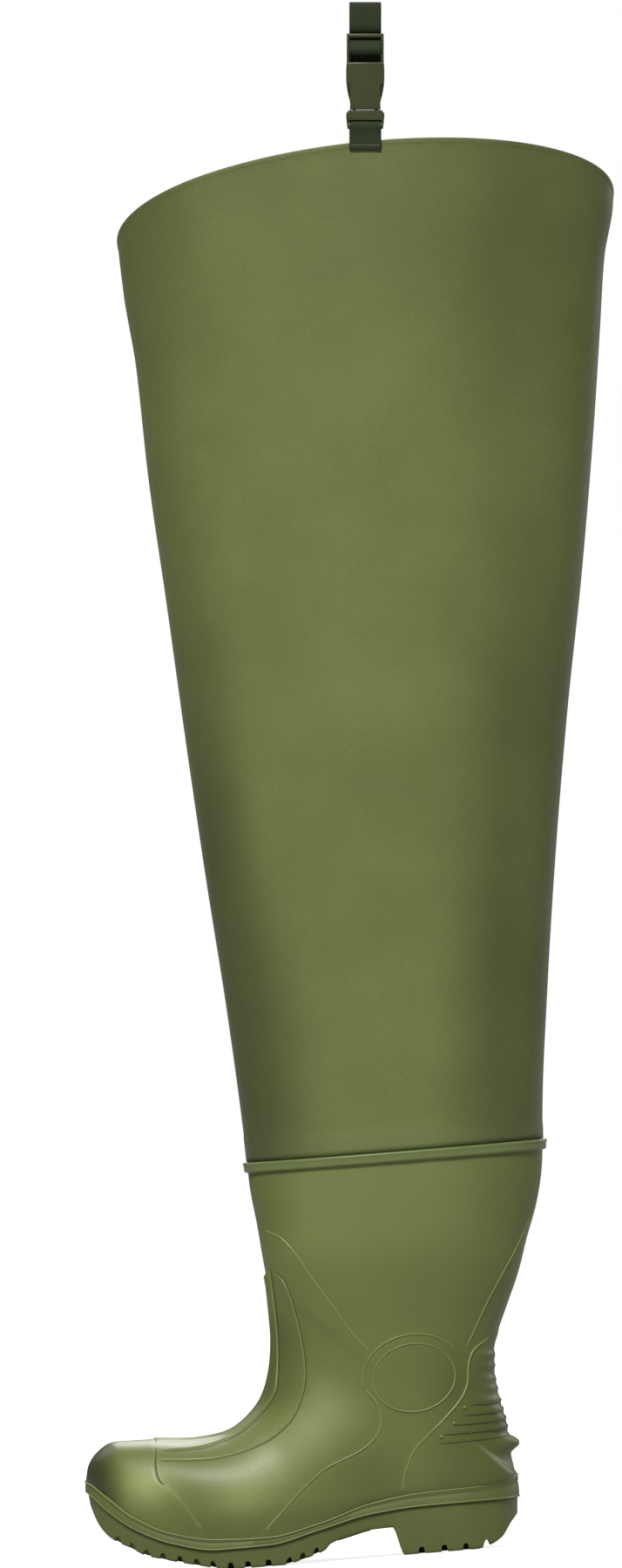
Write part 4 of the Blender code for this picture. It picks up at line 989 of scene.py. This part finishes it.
# The rand's beads take the same lighter painted highlight finish.
dress("rand_beads", beads, highlight_finish, "sole_rubber")

# Insole: felted board 3 mm thick that lies in the sole's cup. The CAD piece stays, in felt.
felt, tree, shader = new_finish("felt", Roughness=0.95, Specular_IOR_Level=0.2)
grain = put(tree, "Group", {"node_tree": mottle}, Broad=60.0, Fine=1600.0).outputs["Grain"]
bump = put(tree, "Bump", Strength=0.6, Distance=0.0004, Height=grain)
plug(tree, shader, Base_Color=tones(tree, grain, (0.020, 0.022, 0.016), (0.055, 0.060, 0.042)),
     Normal=bump.outputs["Normal"])
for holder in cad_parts["insole"].material_slots:
    holder.material = felt

# Shaft: one width of coated nylon rolled into a tube and welded up the back of the leg, welded
# over the boot's lip, and cut slantwise so that its outer side stands highest. It keeps the
# long soft folds of hanging empty.
SHAFT_DEPTH = 0.336
SHAFT_WIDTH = 0.102
FRONT_RIM = 0.893
BACK_RIM = 0.9006
SIDE_RISE = 0.049
HEM_HEIGHT = 0.0046
HEM_STEPS = 8
BAND_HEIGHT = 0.2836
BAND_SLOPE = 0.04
AROUND = 224
ALONG = 150
SHAFT_ROWS = [
    # rise, front, back (shares of the shaft depth), width (share of the shaft width)
    (0.125, 0.3430, -0.2990, 0.902), (0.265, 0.3640, -0.3380, 0.925), (0.405, 0.3820, -0.3830, 0.945),
    (0.545, 0.3980, -0.4340, 0.965), (0.685, 0.4150, -0.4790, 0.985), (0.790, 0.4210, -0.5090, 1.000),
    (0.865, 0.4340, -0.5300, 1.000), (0.920, 0.4380, -0.5560, 1.000), (1.000, 0.4400, -0.5655, 1.000),
]
FOLDS = [
    # side, top x, top z, low x, low z, half width, depth (below zero is a trough)
    (1, 0.112, 0.880, 0.098, 0.735, 0.020, -0.0022), (1, 0.086, 0.905, 0.062, 0.690, 0.026, 0.0016),
    (1, 0.040, 0.900, 0.030, 0.640, 0.030, -0.0012), (1, -0.020, 0.925, -0.030, 0.700, 0.034, 0.0014),
    (1, -0.125, 0.890, -0.105, 0.700, 0.022, -0.0020), (1, -0.085, 0.780, -0.060, 0.520, 0.028, -0.0014),
    (1, 0.095, 0.640, 0.070, 0.400, 0.022, 0.0020), (1, 0.112, 0.520, 0.096, 0.300, 0.012, -0.0018),
    (1, 0.020, 0.600, 0.010, 0.330, 0.034, 0.0014), (1, -0.098, 0.560, -0.068, 0.300, 0.016, -0.0020),
    (1, -0.045, 0.440, -0.030, 0.300, 0.020, 0.0010), (-1, 0.090, 0.820, 0.070, 0.560, 0.026, -0.0022),
    (-1, 0.030, 0.840, 0.010, 0.420, 0.030, 0.0018), (-1, -0.050, 0.860, -0.040, 0.520, 0.026, -0.0020),
    (-1, -0.110, 0.860, -0.080, 0.480, 0.020, 0.0016), (-1, 0.085, 0.480, 0.060, 0.300, 0.016, -0.0016),
    (-1, -0.030, 0.420, -0.020, 0.295, 0.018, 0.0012),
]
lip_top = BOOT_HEIGHT + LIP_HEIGHT
seat = lip_top + 0.004
rim_top = 0.5 * (FRONT_RIM + BACK_RIM) + SIDE_RISE


def rim_height(turned):
    level = 0.5 * (FRONT_RIM + BACK_RIM) + 0.5 * (FRONT_RIM - BACK_RIM) * math.cos(turned)
    return level + SIDE_RISE * math.sin(turned)


shaft_table = [(height, along_x(shin_along(height / BOOT_HEIGHT)),
                along_x(back_along(height / BOOT_HEIGHT)), TOP_GIRTH * BALL_WIDTH)
               for height in (BOOT_HEIGHT, seat)]
for rise, front, back, width in SHAFT_ROWS:
    shaft_table.append((seat + rise * (rim_top - seat), front * SHAFT_DEPTH, back * SHAFT_DEPTH,
                        0.5 * width * SHAFT_WIDTH))
shaft_front, shaft_back, shaft_half = (curve(shaft_table, column) for column in (1, 2, 3))


def shaft_point(turned, height, offset):
    near, far = shaft_front(height) + offset, shaft_back(height) - offset
    return Vector((0.5 * (near + far) + 0.5 * (near - far) * math.cos(turned),
                   (shaft_half(height) + offset) * math.sin(turned), height))


def fold_lift(x, z, side):
    """Soft folds of the empty shaft, faded out at the weld and at the rim."""
    lift = 0.0
    for fold_side, top_x, top_z, low_x, low_z, half, depth in FOLDS:
        if fold_side != side:
            continue
        t = (top_z - z) / (top_z - low_z)
        fade = clamp((t + 0.25) / 0.35) * clamp((1.25 - t) / 0.35)
        line = top_x + min(max(t, -0.2), 1.2) * (low_x - top_x)
        lift += depth * fade * math.exp(-((x - line) / half) ** 2)
    return lift * clamp((z - 0.290) / 0.05)


def shaft_place(column, row):
    turned = 2.0 * math.pi * (column % AROUND) / AROUND
    start = BOOT_HEIGHT + CLEAR
    rim = rim_height(turned)
    hem_row = row - ALONG + HEM_STEPS
    if hem_row <= 0:
        t = row / (ALONG - HEM_STEPS)
        length = rim - HEM_HEIGHT - start
        height = start + t * t * (3.0 - 2.0 * t) * 0.15 * length + t * 0.85 * length
        rise = 0.0
    else:
        height = rim - HEM_HEIGHT + HEM_HEIGHT * hem_row / HEM_STEPS
        rise = 0.0004 * step_up(hem_row, 0, 4) * (1.0 if row < ALONG else 0.5)
    flat = shaft_point(turned, height, 0.0)
    side = 1 if math.sin(turned) >= 0.0 else -1
    calm = min(1.0, abs(math.sin(turned)) / 0.3)
    band = 0.00035 * clamp((BAND_HEIGHT + BAND_SLOPE * flat.x - height) / 0.0006)
    return shaft_point(turned, height, rise + band + calm * fold_lift(flat.x, height, side))


def shaft_painted_shade(x, z):
    """Painted shade on the fabric towards its front and back edges and towards the top, with a thin
    painted highlight at the very edges.
    """
    near, far = shaft_front(z), shaft_back(z)
    share = (x - 0.5 * (near + far)) / (0.5 * (near - far))
    low = 1.0 - 0.52 * step_up(z, 0.48, 0.70)
    tone = 1.0 - 0.54 * low * step_up(share, 0.60 - 0.28 * step_up(-z, -0.48, -0.34), 0.95)
    tone *= 1.0 - 0.40 * (0.3 + 0.7 * low) * step_up(-share, 0.20, 0.75)
    tone += 0.08 * step_up(abs(share), 0.965, 0.995)
    return tone * (1.0 - 0.14 * step_up(z, 0.74, 0.90))


tube = grid(AROUND, ALONG, shaft_place, width=0.72, length=0.66)
close_up(tube)
face_out(tube)
# Painted shade of the fabric, kept per corner as its fade
fade = tube.verts.layers.float.new("fade")
for vert in tube.verts:
    vert[fade] = shaft_painted_shade(vert.co.x, vert.co.z)

# Weave: over-and-under threads along a map in metres, as a height
weave, ends_in, ends_out = group_of("weave", {"Threads": 1400.0, "Ribs": 1400.0}, ("Height",))
split = put(weave, "SeparateXYZ", Vector=put(weave, "UVMap", {"uv_map": "weave"}).outputs["UV"])
warp, weft = (sums(weave, "SINE", sums(weave, "MULTIPLY", split.outputs[axis], sums(
    weave, "MULTIPLY", ends_in.outputs[count], 2.0 * math.pi)))
    for axis, count in (("X", "Threads"), ("Y", "Ribs")))
plug(weave, ends_out, Height=sums(weave, "MULTIPLY_ADD", sums(weave, "MULTIPLY", warp, weft), 0.5, 0.5))

nylon, tree, shader = new_finish("coated_nylon", Specular_IOR_Level=0.4, Sheen_Weight=0.06,
                                 Sheen_Roughness=0.5)
use = put(tree, "Group", {"node_tree": mottle}, Broad=10.0, Fine=420.0)
threads = put(tree, "Group", {"node_tree": weave}, Threads=1100.0, Ribs=1100.0)
speck = sums(tree, "MULTIPLY_ADD", use.outputs["Grain"], 0.50, -0.25)
colour = tones(tree, sums(tree, "ADD", use.outputs["Tone"], speck), (0.132, 0.160, 0.042),
               (0.168, 0.193, 0.053), 0.30, 0.70)
split = put(tree, "SeparateXYZ", Vector=put(tree, "TexCoord").outputs["Object"])
band_edge = sums(tree, "MULTIPLY_ADD", split.outputs["X"], BAND_SLOPE, BAND_HEIGHT)
in_band = put(tree, "MapRange", From_Min=-0.0006, From_Max=0.0006,
              Value=sums(tree, "SUBTRACT", band_edge, split.outputs["Z"]))
colour = blend(tree, sums(tree, "MULTIPLY", in_band.outputs["Result"], 0.55), colour,
               (0.152, 0.190, 0.062, 1.0))
# The fade darkens the cloth as painted shade towards its edges and top, and lightens its very edges as a
# painted highlight.
painted_level = put(tree, "Attribute", {"attribute_name": "fade"})
cloth = put(tree, "Bump", Strength=0.25, Distance=0.0001, Height=threads.outputs["Height"])
bump = put(tree, "Bump", Strength=0.25, Distance=0.0006, Height=use.outputs["Grain"],
           Normal=cloth.outputs["Normal"])
plug(tree, shader, Base_Color=blend(tree, 1.0, colour, painted_level.outputs["Fac"], "MULTIPLY"),
     Roughness=sums(tree, "MULTIPLY_ADD", use.outputs["Tone"], 0.12, 0.46),
     Normal=bump.outputs["Normal"])
give_wall(dress("shaft_tube", tube, nylon, "coated_fabric", "shaft", sharp=70), FABRIC)

# Weld bead: extruded strip of the boot's rubber, 7 mm high, laid round the leg under the edge
# of the fabric, with its butt joint in the middle of the outer side.
BEAD_HEIGHT = 0.007
BEAD_RISE = 0.0025
BEAD_SHAPE = [(0.0, 0.30), (0.05, 0.62), (0.13, 0.80), (0.30, 0.86), (0.55, 0.80), (0.68, 0.90),
              (0.80, 1.0), (0.92, 0.92), (0.985, 0.62), (1.0, 0.30)]
bead_rows = len(BEAD_SHAPE)
bead_rings = {}


def bead_ring(height, offset):
    key = (round(height, 6), round(offset, 6))
    if key not in bead_rings:
        bead_rings[key] = leg_ring(height, offset)[:-1]
    return bead_rings[key]


def bead_place(column, row):
    row = row % (bead_rows + 2)
    if row < bead_rows:
        share, rise = BEAD_SHAPE[row]
    else:
        share, rise = (1.0, 0.0) if row == bead_rows else (0.0, 0.0)
    height = BOOT_HEIGHT - BEAD_HEIGHT + share * BEAD_HEIGHT
    ring = bead_ring(height, CLEAR)
    column = column % len(ring)
    flat = ring[column]
    out = bead_ring(height, CLEAR + 0.001)[column] - flat
    joint = 1.0
    if flat.y > 0.0:
        joint -= 0.55 * math.exp(-((flat.x - 0.009) / 0.0011) ** 2)
    wave = 1.0 + 0.05 * math.sin(180.0 * flat.x + 2.0 * flat.y)
    return flat + out.normalized() * (BEAD_RISE * rise * joint * wave)


bead_columns = len(leg_ring(BOOT_HEIGHT, 0.0)) - 1
bead = grid(bead_columns, bead_rows + 2, bead_place)
close_up(bead)
bead_finish = moulded_finish("weld_bead", (0.166, 0.200, 0.066), (0.150, 0.184, 0.060),
                             0.4, 700.0, 0.0001)
dress("weld_bead", bead, bead_finish, "moulded_boot", "seam_bead", sharp=70)

# Hanger: 21 mm webbing over the bar of the buckle's prong half, sewn through the rim with a leg
# each side of it. Its cut end is folded under and caught by one row of pale stitches.
WEB_WIDTH = 0.0214
WEB_THICK = 0.0016
FRONT_LEG = 0.006
BACK_LEG = 0.025
STITCH_PITCH = 0.00215
BAR = 0.003
BAR_HEIGHT = 0.0096
HANGER_SHIFT = -0.0239
HEM_RISE = 0.0006
WALL_BOW = 0.00055
rim_front, rim_back = SHAFT_ROWS[-1][1] * SHAFT_DEPTH, SHAFT_ROWS[-1][2] * SHAFT_DEPTH
hanger_turn = math.acos((2.0 * HANGER_SHIFT - rim_front - rim_back) / (rim_front - rim_back))
hanger_seat = Vector((HANGER_SHIFT, 0.5 * SHAFT_WIDTH, rim_height(hanger_turn)))
hanger_frame = Matrix.Translation(hanger_seat) @ Matrix.Rotation(-ROLL, 4, "Y")
hanger_middle = 0.5 * (HEM_RISE - FABRIC - WALL_BOW)
hanger_leg = 0.5 * (FABRIC + HEM_RISE + WALL_BOW) + CLEAR + 0.5 * WEB_THICK
bar_wrap = math.sqrt(0.5) * BAR + CLEAR + 0.5 * WEB_THICK
WEB_CORNER = 0.0005


def ribbon(path, closed=False):
    """Webbing with rounded edges along a path of (out, up) points in the hanger's frame."""
    line = smooth_path(path, 0.0009, closed)
    if closed:
        line = line[:-1]
    count = len(line)
    half, thick = 0.5 * WEB_WIDTH, 0.5 * WEB_THICK
    loop = [(-half + 0.0015, -thick), (-half + WEB_CORNER, -thick), (-half, -0.3 * thick),
            (-half, 0.3 * thick), (-half + WEB_CORNER, thick), (-half + 0.0015, thick)]
    loop += [(x, thick) for x in np.linspace(-half + 0.0033, half - 0.0033, 7)]
    loop += [(-x, -z) for x, z in loop[:6]]
    loop += [(x, -thick) for x in np.linspace(half - 0.0033, -half + 0.0033, 7)]

    def place(column, row):
        across, up = loop[column % len(loop)]
        here = line[row % count]
        if closed:
            run = line[(row + 1) % count] - line[(row - 1) % count]
        else:
            run = line[min(row + 1, count - 1)] - line[max(row - 1, 0)]
        side = Vector((-run.y, run.x)).normalized()
        tuck = 0.55 if not closed and row in (0, count - 1) else 1.0
        spot = here + side * up * tuck
        return hanger_frame @ Vector((across, spot.x, spot.y))
    made = grid(len(loop), count if closed else count - 1, place, width=2.0 * WEB_WIDTH,
                length=0.0009 * count)
    close_up(made)
    if not closed:
        bmesh.ops.holes_fill(made, edges=made.edges, sides=0)
        bmesh.ops.recalc_face_normals(made, faces=made.faces)
    return made


def round_bar(height, turns):
    """Points of the webbing's path round a bar, at angles about its middle."""
    return [(hanger_middle + bar_wrap * math.cos(turned), height + bar_wrap * math.sin(turned))
            for turned in turns]


front_out, back_out = hanger_middle + hanger_leg, hanger_middle - hanger_leg
wrap_start = BAR_HEIGHT - 1.3 * bar_wrap
over = [(front_out, -FRONT_LEG), (front_out, 0.0), (front_out, wrap_start)]
over += round_bar(BAR_HEIGHT, [math.pi * k / 6 for k in range(7)])
over += [(back_out, wrap_start), (back_out, 0.0), (back_out, -BACK_LEG)]
webbing, tree, shader = new_finish("webbing", Roughness=0.78, Specular_IOR_Level=0.3,
                                   Sheen_Weight=0.06)
threads = put(tree, "Group", {"node_tree": weave}, Threads=620.0, Ribs=520.0).outputs["Height"]
bump = put(tree, "Bump", Strength=0.9, Distance=0.0004, Height=threads)
plug(tree, shader, Normal=bump.outputs["Normal"],
     Base_Color=tones(tree, sums(tree, "MULTIPLY_ADD", threads, 0.45, 0.5),
                      (0.009, 0.013, 0.0035), (0.028, 0.038, 0.011)))
dress("hanger_strap", ribbon(over), webbing, "webbing", "hanger_webbing", sharp=75)

stitches = bmesh.new()
for k in range(9):
    stitch = bmesh.new()
    bmesh.ops.create_cube(stitch, size=1.0)
    bmesh.ops.scale(stitch, vec=(0.0016, 0.0004, 0.0006), verts=stitch.verts)
    bmesh.ops.bevel(stitch, geom=stitch.edges, offset=0.00015, segments=2, profile=0.5,
                    affect="EDGES", material=-1)
    seat = Vector((-0.0086 + STITCH_PITCH * k, front_out + 0.5 * WEB_THICK, -0.0026))
    bmesh.ops.transform(stitch, matrix=hanger_frame @ Matrix.Translation(seat), verts=stitch.verts)
    join_into(stitches, stitch)
thread, tree, shader = new_finish("thread", Roughness=0.6)
use = put(tree, "Group", {"node_tree": mottle}, Broad=200.0, Fine=4000.0)
plug(tree, shader, Base_Color=tones(tree, use.outputs["Grain"], (0.07, 0.085, 0.045),
                                    (0.15, 0.17, 0.09)))
dress("stitches", stitches, thread, "webbing", sharp=50)

# Buckle, socket half: a flat moulded shell with rounded edges that takes the two prongs and
# shows them through a window in each side. Above it a ladder of two bars holds the belt loop.
BODY_BOTTOM = 0.0213
BODY_TOP = 0.053
MIDDLE_BAR = 0.0618
TOP_BAR = 0.0708
BUCKLE_THICK = 0.0076
FRAME_WIDTH = 0.0248
RAIL = 0.0017


def place_block(target, across, depth, up, rounding, segments=3):
    """Rounded block in the hanger's frame, its depth read from the middle of the webbing."""
    spans = (across, [hanger_middle + side for side in depth], up)
    block = bmesh.new()
    bmesh.ops.create_cube(block, size=1.0)
    bmesh.ops.scale(block, vec=[high - low for low, high in spans], verts=block.verts)
    bmesh.ops.translate(block, vec=[0.5 * (low + high) for low, high in spans], verts=block.verts)
    bmesh.ops.bevel(block, geom=block.edges, offset=rounding, segments=segments, profile=0.5,
                    affect="EDGES", material=-1)
    bmesh.ops.transform(block, matrix=hanger_frame, verts=block.verts)
    join_into(target, block)


def place_pair(target, across, depth, up, rounding):
    """The same block at both sides of the buckle's middle."""
    for sign in (-1.0, 1.0):
        place_block(target, sorted(sign * edge for edge in across), depth, up, rounding)


def place_bar(target, half_width, height, half, rounding):
    """Cross bar as deep as the webbing's bar."""
    place_block(target, (-half_width, half_width), (-0.5 * BAR, 0.5 * BAR),
                (height - half, height + half), rounding, 4)


def shell(outline, thickness, rounding):
    """Plate from a mirrored outline of (half width, up) rows, with rounded edges."""
    made = bmesh.new()
    ring = [(w, z) for w, z in outline] + [(-w, z) for w, z in reversed(outline)]
    face = made.faces.new([made.verts.new((w, -0.5 * thickness, z)) for w, z in ring])
    pulled = bmesh.ops.extrude_face_region(made, geom=[face])
    bmesh.ops.translate(made, vec=(0.0, thickness, 0.0),
                        verts=[v for v in pulled["geom"] if isinstance(v, bmesh.types.BMVert)])
    bmesh.ops.recalc_face_normals(made, faces=made.faces)
    rims = [e for e in made.edges if abs(e.verts[0].co.y - e.verts[1].co.y) < 1e-7]
    bmesh.ops.bevel(made, geom=rims, offset=rounding, segments=4, profile=0.5, affect="EDGES",
                    material=-1)
    bmesh.ops.translate(made, vec=(0.0, hanger_middle, 0.0), verts=made.verts)
    return made


def cut_from(piece, cutter):
    """Cuts one closed mesh out of a piece for good, and removes the cutter."""
    mesh = bpy.data.meshes.new("cutter")
    cutter.to_mesh(mesh)
    cutter.free()
    tool = bpy.data.objects.new("cutter", mesh)
    bpy.context.scene.collection.objects.link(tool)
    cut = piece.modifiers.new("cut", "BOOLEAN")
    cut.operation = "DIFFERENCE"
    cut.solver = "EXACT"
    cut.object = tool
    bpy.context.view_layer.update()
    depsgraph = bpy.context.evaluated_depsgraph_get()
    done = bpy.data.meshes.new_from_object(piece.evaluated_get(depsgraph))
    piece.modifiers.remove(cut)
    old = piece.data
    piece.data = done
    bpy.data.meshes.remove(old)
    bpy.data.objects.remove(tool)
    bpy.data.meshes.remove(mesh)


def add_to(piece, added):
    """Adds moulded parts to a piece in its own finish."""
    whole = bmesh.new()
    whole.from_mesh(piece.data)
    join_into(whole, added)
    whole.to_mesh(piece.data)
    whole.free()
    piece.data.shade_smooth()
    piece.data.set_sharp_from_angle(angle=math.radians(40))


body = shell([(0.0103, BODY_BOTTOM), (0.0102, 0.0235), (0.0101, 0.0255), (0.01055, 0.0278),
              (0.0113, 0.0305), (0.0120, 0.0335), (0.01255, 0.0370), (0.0128, 0.0410),
              (0.01285, 0.0460), (0.01275, 0.0500), (0.0125, 0.0522), (0.0120, BODY_TOP)],
             BUCKLE_THICK, 0.0013)
bmesh.ops.transform(body, matrix=hanger_frame, verts=body.verts)
plastic = moulded_finish("buckle_plastic", (0.050, 0.062, 0.019), (0.038, 0.048, 0.015),
                         0.40, 1500.0, 0.00008)
socket_half = dress("buckle_socket_half", body, plastic, "buckle_plastic", "buckle_female", sharp=40)
hollow = bmesh.new()
place_block(hollow, (-0.0088, 0.0088), (-0.0021, 0.0021), (0.018, 0.0495), 0.0006)
place_pair(hollow, (0.0093, 0.0150), (-0.0027, 0.0027), (0.0296, 0.0388), 0.0007)
cut_from(socket_half, hollow)
for edges in ((-0.0150, -0.0099), (0.0099, 0.0150)):
    notch = bmesh.new()
    place_block(notch, edges, (-0.006, 0.006), (0.0300, 0.0384), 0.0007)
    cut_from(socket_half, notch)
ladder = bmesh.new()
place_pair(ladder, (0.5 * FRAME_WIDTH - RAIL, 0.5 * FRAME_WIDTH), (-RAIL, RAIL),
           (0.0515, 0.0722), 0.0005)
for level in (MIDDLE_BAR, TOP_BAR):
    place_bar(ladder, 0.0118, level, 0.5 * BAR - 0.0001, 0.0011)
add_to(socket_half, ladder)

# Buckle, prong half: a plate with the hanger's bar below and two springy prongs that run up
# inside the socket. Their heads, which show in the side windows, and a lip behind the slit that
# the webbing goes through are in a darker plastic as painted shade.
prongs = shell([(0.0119, 0.0085), (0.0122, 0.0105), (0.0127, 0.0150), (0.01285, 0.0172),
                (0.0127, 0.0186), (0.0118, 0.0200), (0.0107, 0.0210)], 0.0050, 0.0009)
bmesh.ops.transform(prongs, matrix=hanger_frame, verts=prongs.verts)
prong_half = dress("buckle_prong_half", prongs, plastic, "buckle_plastic", "buckle_male", sharp=40)
slit = bmesh.new()
slit_half = 0.5 * WEB_WIDTH + CLEAR
place_block(slit, (-slit_half, slit_half), (-0.004, 0.004), (0.0070, 0.0142), 0.0004)
cut_from(prong_half, slit)
arms = bmesh.new()
place_bar(arms, 0.0118, BAR_HEIGHT, 0.5 * BAR, 0.0009)
place_pair(arms, (0.0062, 0.0085), (-0.0018, 0.0018), (0.019, 0.042), 0.0004)
add_to(prong_half, arms)
heads = bmesh.new()
for sign in (-1.0, 1.0):
    head = shell([(0.0112, 0.0301), (0.0119, 0.0335), (0.01245, 0.0370), (0.0126, 0.0383)],
                 0.0070, 0.0007)
    bmesh.ops.bisect_plane(head, geom=head.verts[:] + head.edges[:] + head.faces[:], dist=1e-6,
                           plane_co=(sign * 0.0094, 0.0, 0.0), plane_no=(-sign, 0.0, 0.0),
                           clear_outer=True)
    bmesh.ops.holes_fill(head, edges=[e for e in head.edges if e.is_boundary])
    bmesh.ops.recalc_face_normals(head, faces=head.faces)
    bmesh.ops.transform(head, matrix=hanger_frame, verts=head.verts)
    join_into(heads, head)
place_block(heads, (-0.0112, 0.0112), (-0.0024, -0.0018), (0.0118, 0.0148), 0.0002)
# Darker plastic of the heads and the lip: painted shade in the side windows and behind the slit.
shade_plastic = moulded_finish("prong_painted_shade", (0.016, 0.020, 0.006), (0.011, 0.014, 0.004),
                              0.45, 1500.0, 0.00008)
dress("prong_heads", heads, shade_plastic, "buckle_plastic", sharp=40)

# Belt loop: the same webbing, round the ladder's middle bar, behind its top bar and up into a
# ring that a waist belt passes through. Its loose end hangs behind the socket half.
LOOP_TOP = 0.0934
LOOP_GAP = 0.0052
behind = hanger_middle - bar_wrap
far = behind - WEB_THICK - CLEAR
front_leg = behind + 0.5 * (LOOP_GAP + WEB_THICK)
back_leg = front_leg - LOOP_GAP - WEB_THICK
loop_path = round_bar(MIDDLE_BAR, np.radians((60, 25, -10, -45, -90, -135, -180)))
loop_path += [(far, MIDDLE_BAR + 0.004), (far, TOP_BAR + 0.001), (back_leg, TOP_BAR + 0.006),
              (back_leg, LOOP_TOP - 0.004)]
bow = 0.5 * (front_leg - back_leg)
for k in range(1, 6):
    turned = math.pi - math.pi * k / 6
    loop_path.append((0.5 * (front_leg + back_leg) + bow * math.cos(turned),
                      LOOP_TOP - 0.5 * WEB_THICK - bow + bow * math.sin(turned)))
loop_path += [(front_leg, LOOP_TOP - 0.005), (front_leg, TOP_BAR + 0.006),
              (behind, TOP_BAR + 0.001), (behind, TOP_BAR - 0.002)]
ring = ribbon(loop_path, closed=True)
join_into(ring, ribbon([(far, MIDDLE_BAR - 0.0006), (far - 0.0001, 0.0575), (far - 0.0002, 0.0500),
                        (far - 0.0003, 0.0440)]))
dress("belt_ring", ring, webbing, "webbing", "belt_loop", sharp=75)
